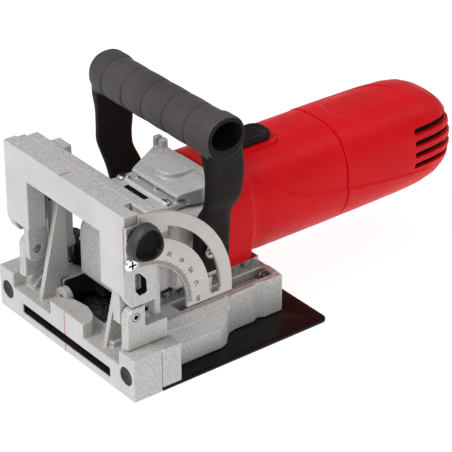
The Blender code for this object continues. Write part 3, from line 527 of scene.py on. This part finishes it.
def centre_line():
    """Red line down the middle of the front face, above and below the blade slot."""
    low = box("centre_line", (-0.4, FRONT_Y + 0.1, 0.3), (0.4, FRONT_Y + 0.4, 4.6), 0.05)
    high = box("upper", (-0.4, FRONT_Y + 0.1, 11.9), (0.4, FRONT_Y + 0.4, 27.6), 0.05)
    return finish(gather(low, [high]), RED_PAINT, "base_front_block", replace=False, slot="red_plastic")


def inside_casting(normal, centre):
    """Walls of the spindle's well, the blade's chamber and the spring channels, which get painted shade."""
    x, y, z = abs(centre.x), centre.y, centre.z
    well = x < 29.6 and -41.6 < y < 19.6 and z < 27.4 and not normal.z > 0.9
    past_travel = max(y, 0.0) + min(y + PLUNGE, 0.0)
    chamber = z < CHAMBER_TOP + 0.6 and math.hypot(centre.x, past_travel) < CHAMBER_RADIUS + 0.7
    channel = 31.6 < x < 41.4 and -2.6 < y < 66.0 and z < 26.0
    return z > 1.5 and (well or chamber or channel)


def rear_casting():
    """Rear casting of the base, with rimmed spring channels and stepped shoulders."""
    node = "base_casting"
    casting = solid_of(node, "rear_casting")
    rails = []
    for side in (-1, 1):
        rails.append(side_box("rim", side, (30.6, -3, 26.5), (31.4, 66.5, 28.2), 0.3))
        rails.append(side_box("rim", side, (41.6, 0, 26.5), (42.4, 66.5, 28.0), 0.3))
        rails.append(side_box("end_pad", side, (31, 66.5, 20), (42, 71, 28.2), 0.8))
        rails.append(prism("shoulder_step", "Y", [(44.6 * side, 20), (50.4 * side, 20), (50.4 * side, 23.6),
                                                  (44.6 * side, 27.6)], -23.4, 27))
    gather(casting, rails)
    soften(casting, 0.6, 4)
    finish(casting, [CAST, PAINTED_SHADE], node)
    # painted shade on the walls of the well, the chamber and the spring channels
    mark_faces(casting, 1, inside_casting)
    return casting


def sole_plate():
    plate = crisp(solid_of("base_plate", "sole_plate", whole=True), 0.5, 3)
    return finish(plate, BLACK_STEEL, "base_plate")


def screw_head(name, axis, centre, face, radius, height, sign=1):
    """Domed pan head with a cross recess; `face` is where the head sits."""
    profile = [(radius * 0.9, face), (radius, face + sign * height * 0.15),
               (radius, face + sign * height * 0.45)]
    for k in range(1, 7):
        angle = math.pi / 2 * k / 6
        profile.append((radius * math.cos(angle) ** 0.7 if k < 6 else 0.0,
                        face + sign * height * (0.45 + 0.55 * math.sin(angle))))
    head = turned(name, axis, centre, profile, 40)
    depth = sorted((face + sign * height * 0.35, face + sign * (height + 1)))
    arm, half = CROSS_ARM * radius, CROSS_HALF * radius
    for u, v in ((arm, half), (half, arm)):
        outline = [(centre[0] - u, centre[1] - v), (centre[0] + u, centre[1] - v),
                   (centre[0] + u, centre[1] + v), (centre[0] - u, centre[1] + v)]
        cut(head, prism("recess", axis, outline, *depth))
    return smooth_shade(head, 35)


def shade_recess(head, axis, centre, radius):
    """Paint shade into the cross recess of a screw head."""

    def in_cross(normal, middle):
        first, second = (middle.y, middle.z) if axis == "X" else (middle.x, middle.y)
        u, v = sorted((abs(first - centre[0]), abs(second - centre[1])))
        return u < CROSS_HALF * radius + 0.03 and v < CROSS_ARM * radius + 0.03

    mark_faces(head, 1, in_cross)


def grip_pads():
    """Black rubber discs with a raised rim and a dished middle."""
    for side_name, side in SIDES:
        rim = FRONT_Y + 0.2
        profile = [(5.5, -55.7), (5.5, rim + 0.5), (5.2, rim + 0.1), (4.8, rim), (4.3, rim + 0.05),
                   (4.0, rim + 0.4), (3.2, rim + 0.55), (1.6, rim + 0.6), (1.2, rim + 0.9), (0, rim + 0.95)]
        pad = turned(f"pad_{side_name}", "Y", (61.5 * side, 13.9), profile, 64)
        finish(smooth_shade(pad), RUBBER, f"grip_pad_{side_name}")


def wire_ring(middle, out, across, radius, sides):
    """Section of a wire round a point of its middle line."""
    angles = [math.tau * k / sides for k in range(sides)]
    return [middle + radius * (out * math.cos(b) + across * math.sin(b)) for b in angles]


def return_springs():
    """Close-wound return springs, built once at their resting length."""
    turns, around, sides, wire = 24, 18, 8, 0.5
    for side_name, side in SIDES:
        x, low, high, radius = SPRING_X * side, 25.0, 60.0, 3.5
        rings = []
        for i in range(turns * around + 1):
            angle = math.tau * i / around
            out = Vector((math.cos(angle), 0, math.sin(angle)))
            middle = Vector((x, low + (high - low) * i / (turns * around), 20.5)) + out * radius
            rings.append(wire_ring(middle, out, Vector((0, 1, 0)), wire, sides))
        spring = smooth_shade(loft(f"spring_{side_name}", rings))
        spring.data.materials.append(BRIGHT_STEEL)
        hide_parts(f"return_spring_{side_name}")
        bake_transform(spring)


def spring_hooks():
    """Ring ends that hang each spring on its anchor."""
    for side_name, side in SIDES:
        rings = []
        for k in range(41):
            angle = math.radians(-30 + 300 * k / 40)
            centre = Vector((SPRING_X * side, 63.6 + 2.9 * math.cos(angle), 24.6 + 2.9 * math.sin(angle)))
            out = Vector((0, math.cos(angle), math.sin(angle)))
            rings.append(wire_ring(centre, out, Vector((1, 0, 0)), 0.5, 10))
        hook = smooth_shade(loft(f"spring_hook_{side_name}", rings))
        finish(hook, BRIGHT_STEEL, f"spring_anchor_{side_name}", replace=False)


def spout():
    node = "dust_spout"
    made = solid_of(node, "spout")
    ribs = []
    for x in (-70, -84.2):
        profile = [(8.8, x), (11.3, x), (11.3, x - 1.4), (8.8, x - 1.4)]
        ribs.append(turned("rib", "X", SPOUT_CENTRE, profile, 48, ring=True))
    gather(made, ribs)
    soften(made, 0.5, 3)
    return finish(made, BLACK, node)


def turret():
    made = crisp(solid_of("depth_turret", "turret", whole=True), 0.35, 2)
    return finish(made, BLACK, "depth_turret")


# -------- carrier and fence
def carrier():
    """Lifting casting behind the fence, with the hinge posts."""
    node = "fence_carrier"
    made = solid_of(node, "carrier")
    extra = []
    for side in (-1, 1):
        foot = [(-55.2, 28.8), (-53.6, 34), (-54.2, 40), (-42, 40), (-40, 34), (-38, 31), (-36, 28.8)]
        low_x, high_x = HINGE_POSTS[side]
        extra.append(prism("foot", "X", foot, *mirrored(side, low_x + 0.4, high_x - 0.4)))
        extra.append(rod("boss_rim", "Y", (CARRIER_BOSS[0] * side, CARRIER_BOSS[1]), 5.4, -32.6, -27.5))
    extra.append(box("rear_rib", (20.4, -26.4, 110), (59.6, -24.8, 115.6), 0.5))
    gather(made, extra)
    soften(made, 0.5, 5)
    for side in (-1, 1):
        low_x, high_x = HINGE_POSTS[side]
        cut(made, rod("pin_hole", "X", PIVOT, 2.7, *mirrored(side, low_x - 0.3, high_x + 0.3)),
            rod("boss_dimple", "Y", (CARRIER_BOSS[0] * side, CARRIER_BOSS[1]), 2.2, -34, -30))
    smooth_shade(made, 38)
    finish(made, [CAST, PAINTED_SHADE], node)
    # painted shade on the walls of the slot in the bracket
    mark_faces(made, 1, lambda normal, centre: 26.7 < centre.x < 46.8 and -32.0 < centre.y < -27.9
               and centre.z < 114.2)
    return made


def fence_plate():
    """Tilting fence with a milled front face."""
    node = "fence"
    made = solid_of(node, "fence_plate")
    cut(made, box("top_groove", (-59.2, -47.4, 115.4), (46, -46.6, 118)))
    cut(made, box("scale_notch", (MARK_X[0], FENCE_FRONT_Y - 1, 116.6), (MARK_X[1], -47.6, 118)))
    soften(made, 0.45, 4)
    finish(made, [CAST, MACHINED, PAINTED_SHADE], node)
    mark_faces(made, 1, lambda normal, centre: normal.y < -0.85 and centre.y < FENCE_FRONT_Y + 0.5)
    # painted shade on the walls of the right cheek's window
    mark_faces(made, 2, lambda normal, centre: 53.0 < centre.x < 60.2 and -48.9 < centre.y < -39.8
               and 62.0 < centre.z < 78.2 and abs(normal.x) < 0.6)
    return made


def fence_mark():
    """Red centre mark on the fence's top."""
    mark = box("fence_mark", (MARK_X[0], FENCE_FRONT_Y + 0.4, 116.5), (MARK_X[1], -48.2, 117.05), 0.05)
    return finish(mark, RED_PAINT, "fence", replace=False, slot="red_plastic")


def quadrant():
    made = crisp(solid_of("angle_quadrant", "quadrant", whole=True), 0.28, 2)
    return finish(made, PLATED, "angle_quadrant")


def on_quadrant(radius, angle, lift):
    """Point `lift` over the quadrant's outer face, at an angle in degrees from straight back."""
    a = math.radians(angle)
    return Vector((QUADRANT_FACE + lift, PIVOT[0] + radius * math.cos(a), PIVOT[1] + radius * math.sin(a)))


def scale_ticks():
    """A tick for each degree of tilt, longer every five and every fifteen."""
    bm = bmesh.new()
    for degree in range(0, 91):
        angle = math.radians(SCALE_START - degree)
        along = Vector((0, math.cos(angle), math.sin(angle)))
        across = Vector((0, -math.sin(angle), math.cos(angle)))
        end = next(radius for step, radius in TICK_ENDS if degree % step == 0)
        start = Vector((QUADRANT_FACE, *PIVOT))
        corners = []
        for lift in (-0.02, 0.06):
            for radius, offset in ((TICK_START, -TICK_HALF), (end, -TICK_HALF), (end, TICK_HALF),
                                   (TICK_START, TICK_HALF)):
                corners.append(bm.verts.new(start + along * radius + across * offset + Vector((lift, 0, 0))))
        for face in ((0, 1, 2, 3), (7, 6, 5, 4), (0, 4, 5, 1), (1, 5, 6, 2), (2, 6, 7, 3), (3, 7, 4, 0)):
            bm.faces.new([corners[i] for i in face])
    return finish(make("scale_ticks", bm), INK, "angle_quadrant", replace=False, slot="black_plastic")


def scale_numbers():
    """Raised dial numbers every fifteen degrees, their heads pointing outwards."""
    for degree in range(0, 91, 15):
        curve = bpy.data.curves.new(f"number_{degree}", "FONT")
        curve.body = str(degree)
        curve.size = NUMBER_SIZE * MM
        curve.extrude = 0.05 * MM
        curve.align_x = "CENTER"
        curve.align_y = "CENTER"
        text = new_object(f"number_text_{degree}", curve)
        mesh = bpy.data.meshes.new_from_object(text.evaluated_get(bpy.context.evaluated_depsgraph_get()))
        bpy.data.objects.remove(text, do_unlink=True)
        angle = math.radians(SCALE_START - degree)
        up = Vector((0, math.cos(angle), math.sin(angle)))
        right = Vector((0, -math.sin(angle), math.cos(angle)))
        centre = on_quadrant(NUMBER_RADIUS, SCALE_START - degree, 0.04) * MM
        for vertex in mesh.vertices:
            local = vertex.co.copy()
            vertex.co = centre + right * local.x + up * local.y + Vector((1, 0, 0)) * local.z
        made = new_object(f"number_{degree}", mesh)
        finish(made, INK, "angle_quadrant", replace=False, slot="black_plastic")


def knob(name, node, hub, face, radius, turn):
    """Three-cornered moulded knob with a rounded rim and a deep dished face, along X."""
    sign = 1 if face > 0 else -1

    def ring(scale, along, lobes=1.0):
        points = []
        for i in range(90):
            angle = math.tau * i / 90
            reach = radius * scale * (1 + 0.085 * lobes * math.cos(3 * (angle - math.radians(turn))))
            points.append(Vector((face + sign * along, hub[0] + reach * math.cos(angle),
                                  hub[1] + reach * math.sin(angle))))
        return points

    rings = [ring(0.25, 0.2, 0), ring(0.5, 0.2, 0), ring(0.5, 4.4, 0), ring(0.84, 4.5), ring(0.95, 4.9),
             ring(0.99, 5.8), ring(1.0, 7.2), ring(0.99, 9.6), ring(0.965, 11.0), ring(0.92, 11.9),
             ring(0.87, 12.2), ring(0.82, 12.0), ring(0.785, 11.2), ring(0.74, 8.8), ring(0.66, 6.9, 0.9),
             ring(0.45, 6.2, 0.7), ring(0.22, 6.0, 0.3), ring(0.02, 6.0, 0)]
    made = smooth_shade(loft(name, rings), 55)
    finish(made, [KNOB, PAINTED_SHADE], node)
    # painted shade in the dished face
    mark_faces(made, 1, lambda normal, centre: (centre.x - face) * sign > 5.5
               and math.hypot(centre.y - hub[0], centre.z - hub[1]) < radius * 0.82)
    return made


def clamp_studs():
    """Steel studs and washers of the two clamp knobs."""
    for name, centre, profile in (
            ("angle", ANGLE_CLAMP, [(2.3, 48.2), (2.3, 62.9), (7.2, 62.95), (7.2, 63.3), (0, 63.3)]),
            ("lift", LIFT_CLAMP, [(1.8, -45.2), (1.8, -59.9), (6.4, -59.95), (6.4, -60.3), (0, -60.3)])):
        stud = smooth_shade(turned(f"{name}_stud", "X", centre, profile, 40))
        finish(stud, STEEL, f"{name}_clamp_knob", replace=False, slot="steel")


# -------- gear head
def gear_head():
    node = "gear_head_housing"
    made = solid_of(node, "gear_head")
    extra = []
    for side in (-1, 1):
        extra.append(side_box("shelf", side, (30, -2, 56), (35.2, 30, 58.4), 0.6))
        extra.append(rod("side_boss", "X", (2, 72), 6.5, *mirrored(side, 29.6, 33.4)))
    gather(made, extra)
    soften(made, 0.6, 4)
    return finish(made, CAST, node)


def gear_cover():
    node = "gear_head_cover"
    made = solid_of(node, "gear_cover")
    posts = [rod("post", "Z", (x, 8.4), 1.0, 87, 92.5, 16) for x in (-15.5, 3, 23)]
    gather(made, posts)
    soften(made, 0.45, 4)
    return finish(made, CAST, node)


# -------- motor housing
def smoothstep(low, high, value):
    t = min(max((value - low) / (high - low), 0.0), 1.0)
    return t * t * (3 - 2 * t)


def superpoint(angle, half, up, down, power_up, power_down):
    """Point of a rounded-square section: half width, heights and squareness above and below."""
    c, s = math.cos(angle), math.sin(angle)
    power = 2 / (power_up if s > 0 else power_down)
    height = up if s > 0 else down
    return half * signed_power(c, power), height * signed_power(s, power)


def swoosh(y):
    """Height of the crease that sweeps down each side of the motor housing."""
    return 60.0 + 35.0 / (1.0 + max((y - 50.0) / 30.0, 0.0) ** 2.5) - 0.11 * max(y - 120.0, 0.0)


def housing_ring(y, sides, shrink=0.0):
    """Motor housing section: squarer below at the front collar, with the crease on its sides."""
    collar = 1.0 - smoothstep(56.0, 60.0, y)
    half = BARREL + 0.9 * collar - shrink
    ring = []
    for i in range(sides):
        angle = math.tau * (i + 0.5) / sides
        x, z = superpoint(angle, half, half * CROWN, half, SQUARENESS, 2.0 + 1.6 * collar)
        height = MOTOR_Z + z
        if not shrink:
            below = smoothstep(-0.6, 0.6, swoosh(y) - height) * smoothstep(62.0, 74.0, y)
            raised = 1.0 + CREASE * below / half
            x, height = x * raised, MOTOR_Z + (height - MOTOR_Z) * raised
        if abs(x) > 20.6:
            height = max(height, 35.3)
        ring.append(Vector((x, y, height)))
    return ring


def motor_housing():
    """Front shell of the motor, drawn in a little at both ends, with the switch's island."""
    sides = 240
    stations = [FLANGE_Y + 0.2, FLANGE_Y + 0.6] + [FLANGE_Y + 0.8 * k for k in range(2, 118)]
    stations = [y for y in stations if y < SEAM_Y - 0.9] + [SEAM_Y - 0.8, SEAM_Y - 0.3, SEAM_Y]
    rings = []
    for y in stations:
        ring = housing_ring(y, sides)
        front = 1 - smoothstep(FLANGE_Y + 0.2, FLANGE_Y + 1.2, y)
        pull = 0.35 * smoothstep(SEAM_Y - 0.9, SEAM_Y, y) + 0.5 * front
        kept = 1 - pull / BARREL
        rings.append([Vector((p.x * kept, p.y, MOTOR_Z + (p.z - MOTOR_Z) * kept)) for p in ring])
    shell = loft("motor_shell", rings)
    island = [(-13, 60), (-13, 90), (-10, 95), (-5, 97.5), (5, 97.5), (10, 95), (13, 90), (13, 60)]
    join(shell, prism("switch_island", "Z", island, 90, 98.6))
    cut(shell, loft("hollow", [housing_ring(y, 64, 3.0) for y in (FLANGE_Y - 4, 90, SEAM_Y + 4)]))
    cut(shell, box("switch_slot", (-3.6, 66, 90), (3.6, 95, 102)))
    return finish(smooth_shade(shell, 38), RED, "motor_housing")


def cap_radius(y):
    """Half width of the rear cap along its length."""
    rows = [(132, 34.3), (150, 34.3), (186, 33.9), (204, 33.0), (214, 31.4), (221, 28.6), (226, 24.6),
            (229, 19.5), (230.5, 13.5)]
    for (y0, r0), (y1, r1) in zip(rows, rows[1:]):
        if y <= y1:
            return r0 + (r1 - r0) * (y - y0) / (y1 - y0)
    return rows[-1][1]


def cap_ring(y, sides, shrink=0.0):
    """Rear cap section; the top carries a shallow oval panel."""
    half = cap_radius(y) - shrink
    ring = []
    for i in range(sides):
        x, z = superpoint(math.tau * (i + 0.5) / sides, half, half * CROWN, half, SQUARENESS, 2.0)
        if not shrink:
            if z > 0:
                along = max(abs(y - 171.0) - 6.0, 0.0) / 22.0
                inside = 1.0 - smoothstep(0.93, 1.04, math.hypot(along, x / 21.5))
                z -= 0.9 * inside
            below = smoothstep(-0.6, 0.6, swoosh(y) - MOTOR_Z - z) * (1 - smoothstep(196.0, 210.0, y))
            x *= 1.0 + CREASE * below / half
        ring.append(Vector((x, y, MOTOR_Z + z)))
    return ring


def rear_cap():
    """Rear shell of the motor, with four vents on each side and the cord's hole."""
    sides = 240
    start = SEAM_Y + 0.45
    stations = [start, start + 0.4, start + 0.9] + [start + 1.7 + 0.8 * k for k in range(0, 112)]
    stations = [y for y in stations if y < 222] + [222 + 0.4 * k for k in range(1, 22)]
    rings = []
    for y in stations:
        pull = 0.4 * (1 - smoothstep(start, start + 0.9, y)) / BARREL
        rings.append([Vector((p.x * (1 - pull), p.y, MOTOR_Z + (p.z - MOTOR_Z) * (1 - pull)))
                      for p in cap_ring(y, sides)])
    cap = loft("cap_shell", rings)
    cut(cap, loft("hollow", [cap_ring(y, 64, 2.6) for y in (128, 150, 186, 204, 214, 221, 226)]))
    for k in range(4):
        z = 57.6 + 7.7 * k
        for side in (-1, 1):
            outline = [(190, z - 2.1), (236, z - 2.1), (236, z + 2.1), (190, z + 2.1), (188.8, z + 1.2),
                       (188.8, z - 1.2)]
            cut(cap, prism("vent", "X", outline, *mirrored(side, 14.5, 40)))
    cut(cap, rod("cord_hole", "Y", GLAND_CENTRE, 6.7, 215, 236))
    return finish(smooth_shade(cap, 38), RED, "rear_cap")


def cap_lining():
    """Near-black sleeve of painted shade behind the vents, closed at its rear end."""
    rings = [cap_ring(y, 64, 4.2) for y in (184, 200, 212, 219, 223)]
    inner = [cap_ring(y, 64, 5.2) for y in (223, 219, 212, 200, 184)]
    lining = loft("vent_shade_sleeve", rings + inner)
    gather(lining, [loft("end", [cap_ring(y, 64, 3.6) for y in (223.6, 225.2)])])
    return finish(smooth_shade(lining), PAINTED_SHADE, "motor_housing", replace=False, slot="black_plastic")


def gland():
    profile = [(6.2, 224), (6.2, 231.2), (7.4, 231.3), (7.7, 231.9), (7.5, 233.2), (6.9, 233.7), (6.5, 234.8),
               (5.4, 235), (3.8, 235), (3.6, 234.6), (3.6, 224)]
    made = turned("cord_gland", "Y", GLAND_CENTRE, profile, 48, ring=True)
    return finish(smooth_shade(made), RUBBER, "cable_gland")


def switch_pad():
    """Slide switch: a long pad with a rounded rear end, a dished top and cross ribs."""

    def outline(inset):
        half, rear, corner = 9.3 - inset, 93.6 - inset, 7.4 - inset
        points = [(-half, 66 + inset), (half, 66 + inset), (half, rear - corner)]
        points += arc((half - corner, rear - corner), corner, 10, 90, 8)
        points += arc((corner - half, rear - corner), corner, 90, 170, 8)
        return points + [(-half, rear - corner)]

    levels = ((0, 99.3), (0, 102.3), (0.3, 102.9), (0.9, 103.2), (1.5, 103.0), (2.2, 102.6))
    rings = [[Vector((x, y, z)) for x, y in outline(inset)] for inset, z in levels]
    pad = loft("switch_pad", rings)
    for k in range(5):
        join(pad, box("rib", (-5.6, 71 + 3.4 * k, 101), (5.6, 72 + 3.4 * k, 103.0), 0.3))
    return finish(smooth_shade(pad, 40), BLACK, "slide_switch")


# -------- handle
LEG_FOOT = [(46.5, 39.6, 21, 17, 5.4), (54, 39.6, 21.2, 24.4, 6), (62, 39.6, 21, 25, 6)]
LEG_STATIONS = {                     # z, x, y, width and thickness of each leg, from its foot up
    -1: LEG_FOOT + [(68, 40, 21, 25, 6), (77, 44.2, 20.6, 25, 5.8), (84, 46.6, 19.6, 24, 5.6),
                    (92.6, 48.6, 17, 23, 5.4), (101, 49.8, 16, 25, 5.6), (110, 50.3, 16.8, 26, 5.6),
                    (122, 50.4, 17, 26.6, 5.8), (132, 50, 15.8, 26.6, 9), (142, 48.9, 15.5, 27, 11)],
    1: LEG_FOOT + [(77, 41, 20.6, 25, 6.2), (85, 44, 19.6, 24, 6.6), (92.6, 50, 17, 23, 6.6),
                   (101, 56.2, 16, 25, 5.8), (110, 57.3, 16.8, 26, 5.6), (122, 57.4, 17, 26.6, 6),
                   (132, 57, 15.8, 26.6, 9), (142, 56, 15.5, 27, 12)],
}
GRIP_END = {-1: 54.4, 1: 62.3}       # x of each end of the grip
HOLLOW = (15.0, 145.4, 10.8, 8.8)    # y, z, half width and half height of the opening in each end


def leg_ring(side, x, y, z, width, thick, count=44):
    ring = []
    for i in range(count):
        angle = math.tau * (i + 0.5) / count
        c, s = math.cos(angle), math.sin(angle)
        ring.append(Vector((side * (x + thick / 2 * signed_power(c, 0.42)),
                            y + width / 2 * signed_power(s, 0.5), z)))
    return ring


def handle_leg(side):
    """Leg from the grip's end down to the gear head."""
    stations, steps = LEG_STATIONS[side], 63
    low, high = stations[0][0], stations[-1][0]
    rings = []
    for k in range(steps + 1):
        z = low + (high - low) * k / steps
        x, y, width, thick = eased(stations, z)
        rings.append(leg_ring(side, x, y, z, width, thick))
    return loft("leg", rings)


def end_cap(side):
    """Rounded end of the grip, into which the leg runs."""
    rings = []
    for x, scale in ((-14, 0.9), (-12, 0.97), (-10, 1.0), (-1.7, 1.0), (-0.5, 0.97), (0, 0.92)):
        ring = []
        for i in range(64):
            angle = math.tau * i / 64
            c, s = math.cos(angle), math.sin(angle)
            ring.append(Vector((side * (GRIP_END[side] + x),
                                15.0 + scale * 13.6 * signed_power(c, 0.9),
                                144.0 + scale * 13.0 * signed_power(s, 0.9))))
        rings.append(ring)
    return loft("end_cap", rings)


def in_hollow(y, z, margin):
    """Whether a point lies in the rounded opening of the grip's ends, made larger by a margin."""
    return math.hypot((y - HOLLOW[0]) / (HOLLOW[2] + margin), (z - HOLLOW[1]) / (HOLLOW[3] + margin)) < 1.0


def bail():
    """Handle: a ribbed grip on two legs, with an opening in each end and the legs' screw holes."""
    profile = [(0, -53.4), (10, -53.4), (13.2, -51.4), (GRIP_RADIUS + 0.2, -47.8)]
    for k in (-40, -20, 0, 20, 40):
        profile += [(GRIP_RADIUS, k - 1.0), (GRIP_RADIUS - 1.0, k - 0.3), (GRIP_RADIUS - 1.0, k + 0.3),
                    (GRIP_RADIUS, k + 1.0)]
        if k < 40:
            profile += [(GRIP_RADIUS + 0.25, k + 10)]
    profile += [(GRIP_RADIUS + 0.2, 56), (13.2, 59.5), (10, 61.5), (0, 61.5)]
    made = turned("bail", "X", (GRIP_Y, GRIP_Z), profile, 96)
    gather(made, [handle_leg(-1), handle_leg(1), end_cap(-1), end_cap(1)])
    soften(made, 0.5, 4)
    for side in (-1, 1):
        hollow = []
        for i in range(40):
            angle = math.tau * i / 40
            hollow.append((HOLLOW[0] + HOLLOW[2] * math.cos(angle), HOLLOW[1] + HOLLOW[3] * math.sin(angle)))
        cut(made, prism("end_hollow", "X", hollow, *mirrored(side, GRIP_END[side] - 20, 70)))
        cut(made, rod("screw_hole", "X", HANDLE_BOSS, 2.6, *mirrored(side, 34, 46)))
    finish(smooth_shade(made, 38), [BLACK, GRIP, PAINTED_SHADE], "bail_handle")
    mark_faces(made, 1, lambda normal, centre: abs(normal.x) < 0.75
               and math.hypot(centre.y - 14.6, centre.z - GRIP_Z) < GRIP_RADIUS + 1.6
               and (centre.z > 133 or -43.5 < centre.x < 51.5))
    # painted shade inside the opening in each end
    mark_faces(made, 2, lambda normal, centre: in_hollow(centre.y, centre.z, 0.15)
               and -GRIP_END[-1] + 0.6 < centre.x < GRIP_END[1] - 0.6)
    return made


# -------- fasteners
def fasteners():
    """Visible screw heads, each over its CAD screw's place."""
    heads = [("quadrant_screw", "X", QUADRANT_SCREW, QUADRANT_FACE + 0.3, 4.1, 2.4, 1, BRIGHT_STEEL),
             ("turret_screw", "Z", TURRET, 40.3, 3.5, 2.4, 1, STEEL)]
    for side_name, side in SIDES:
        heads.append((f"handle_screw_{side_name}", "X", HANDLE_BOSS, 43.1 * side, 4.8, 3.1, side, STEEL))
        cover_screw = (COVER_SCREW[0] * side, COVER_SCREW[1])
        heads.append((f"cover_screw_{side_name}", "Z", cover_screw, 88.9, 3.5, 2.3, 1, STEEL))
    for node, axis, centre, face, radius, height, sign, metal in heads:
        head = screw_head(f"{node}_head", axis, centre, face, radius, height, sign)
        finish(head, [metal, PAINTED_SHADE], node)
        # painted shade in each head's cross recess
        shade_recess(head, axis, centre, radius)


def hinge_pins():
    """Fence hinge pins with a drilled outer end."""
    for side_name, side in SIDES:
        end = HINGE_POSTS[side][1] - 0.3
        start = HINGE_POSTS[side][0] - (4.6 if side < 0 else 7.0)
        profile = [(0, start), (2.2, start), (2.4, start + 0.3), (2.4, end - 0.3), (2.1, end), (1.5, end),
                   (1.4, end - 0.2), (1.4, end - 3.0), (0, end - 3.6)]
        pin = smooth_shade(turned(f"pin_{side_name}", "X", PIVOT, [(r, x * side) for r, x in profile], 40))
        finish(pin, [STEEL, PAINTED_SHADE], f"hinge_pin_{side_name}")
        # painted shade in the drilled outer end
        mark_faces(pin, 1, lambda normal, centre: abs(centre.x) > end - 4
                   and math.hypot(centre.y - PIVOT[0], centre.z - PIVOT[1]) < 1.46)


def depth_stop():
    """Threaded depth rod with its hexagonal lock nut."""
    profile = []
    for k in range(32):
        y = 21 + 0.5 * k
        profile.append((3.0 if k % 2 else 2.6, y))
    profile += [(3.0, 37), (4.4, 37), (4.6, 37.3), (4.6, 40.6), (4.2, 41), (0, 41)]
    made = turned("depth_stop", "Y", DEPTH_ROD, [(0, 20.9)] + profile, 32)
    nut = turned("nut", "Y", DEPTH_ROD, [(3.1, 32.2), (5.6, 32.4), (5.6, 35.6), (3.1, 35.8)], 6, ring=True)
    gather(made, [nut])
    return finish(smooth_shade(made), STEEL, "depth_rod")


# -------- carried-over CAD nodes
CARRIED = {
    STEEL: ("sole_screw_front_left", "sole_screw_front_right", "sole_screw_rear_left",
            "sole_screw_rear_right", "guide_strip_left", "guide_strip_right", "spring_anchor_left",
            "spring_anchor_right", "motor_bearing_front", "motor_bearing_rear", "spindle_bearing_lower",
            "armature_shaft", "pinion_gear", "blade_spindle", "crown_gear", "inner_flange"),
    BRIGHT_STEEL: ("saw_blade",),
    BLACK_STEEL: ("stator_core", "flange_nut"),
    BLACK: ("switch_body", "switch_rod", "cooling_fan", "spindle_lock_button"),
    COPPER: ("armature_core",),
    BRASS: ("commutator", "spindle_bush_upper", "brush_holder_left", "brush_holder_right"),
    CARBON: ("carbon_brush_left", "carbon_brush_right"),
}


def dress_carried_nodes():
    """Give the CAD nodes that no piece replaces their materials."""
    for material, names in CARRIED.items():
        for name in names:
            node = frame["nodes"][name]
            node.data.materials.clear()
            node.data.materials.append(material)


# -------- stage
def floor_material():
    """Pale studio sweep that glows a little, so that shadows on it stay faint."""
    made, tree, bsdf = shader("floor", roughness=0.9, specular=0.1)
    tone = noise(tree, 400.0)
    colour = blend_colours(tree, spread(tree, tone, 0, 1), (0.21, 0.21, 0.21), (0.22, 0.22, 0.22))
    tree.links.new(colour, bsdf.inputs["Base Color"])
    bsdf.inputs["Emission Color"].default_value = (1.0, 1.0, 1.0, 1.0)
    bsdf.inputs["Emission Strength"].default_value = 0.9
    return made


def stage():
    bm = bmesh.new()
    reach, drop = 6, 0.0002              # metres
    for x, y in ((-reach, -reach), (reach, -reach), (reach, reach), (-reach, reach)):
        bm.verts.new((x, y, -drop))
    bm.faces.new(bm.verts)
    floor = make("floor", bm, scale=1.0)
    floor.data.materials.append(floor_material())


def area_light(name, place_at, aim, size, power):
    data = bpy.data.lights.new(name, "AREA")
    data.shape = "DISK"
    data.size = size
    data.energy = power
    lamp = new_object(name, data)
    lamp.location = place_at
    lamp.rotation_euler = (Vector(aim) - Vector(place_at)).to_track_quat("-Z", "Y").to_euler()


def lighting():
    world = bpy.data.worlds.new("studio")
    bpy.context.scene.world = world
    world.use_nodes = True
    background = world.node_tree.nodes["Background"]
    background.inputs["Color"].default_value = (1.0, 1.0, 1.0, 1.0)
    background.inputs["Strength"].default_value = 0.42
    middle = (0.0, 0.06, 0.06)
    area_light("key", (-0.25, -1.0, 1.35), middle, 0.7, 17)
    area_light("back", (0.4, 1.2, 1.3), middle, 0.9, 5)
    area_light("side", (1.6, -0.1, 0.5), middle, 0.8, 3.2)


def camera():
    """Camera at the photograph's viewing angle."""
    elevation, azimuth = 29.41, 51.94
    data = bpy.data.cameras.new("camera")
    data.lens = 172.4
    data.sensor_width = 36.0
    data.clip_end = 20.0
    made = new_object("camera", data)
    made.location = (0.9129, -0.6516, 0.6971)
    made.rotation_euler = (math.radians(90 - elevation), 0.0, math.radians(azimuth))
    bpy.context.scene.camera = made


def build():
    dress_carried_nodes()
    front_block()
    centre_line()
    rear_casting()
    sole_plate()
    grip_pads()
    return_springs()
    spring_hooks()
    spout()
    turret()
    carrier()
    hinge_pins()
    fence_plate()
    fence_mark()
    quadrant()
    scale_ticks()
    scale_numbers()
    knob("angle_knob", "angle_clamp_knob", ANGLE_CLAMP, 63.2, 11.1, 80)
    knob("lift_knob", "lift_clamp_knob", LIFT_CLAMP, -60.2, 11.0, 40)
    clamp_studs()
    gear_head()
    gear_cover()
    motor_housing()
    rear_cap()
    cap_lining()
    gland()
    switch_pad()
    bail()
    fasteners()
    depth_stop()
    stage()
    lighting()
    camera()
    bpy.context.scene.view_settings.view_transform = "Standard"


build()
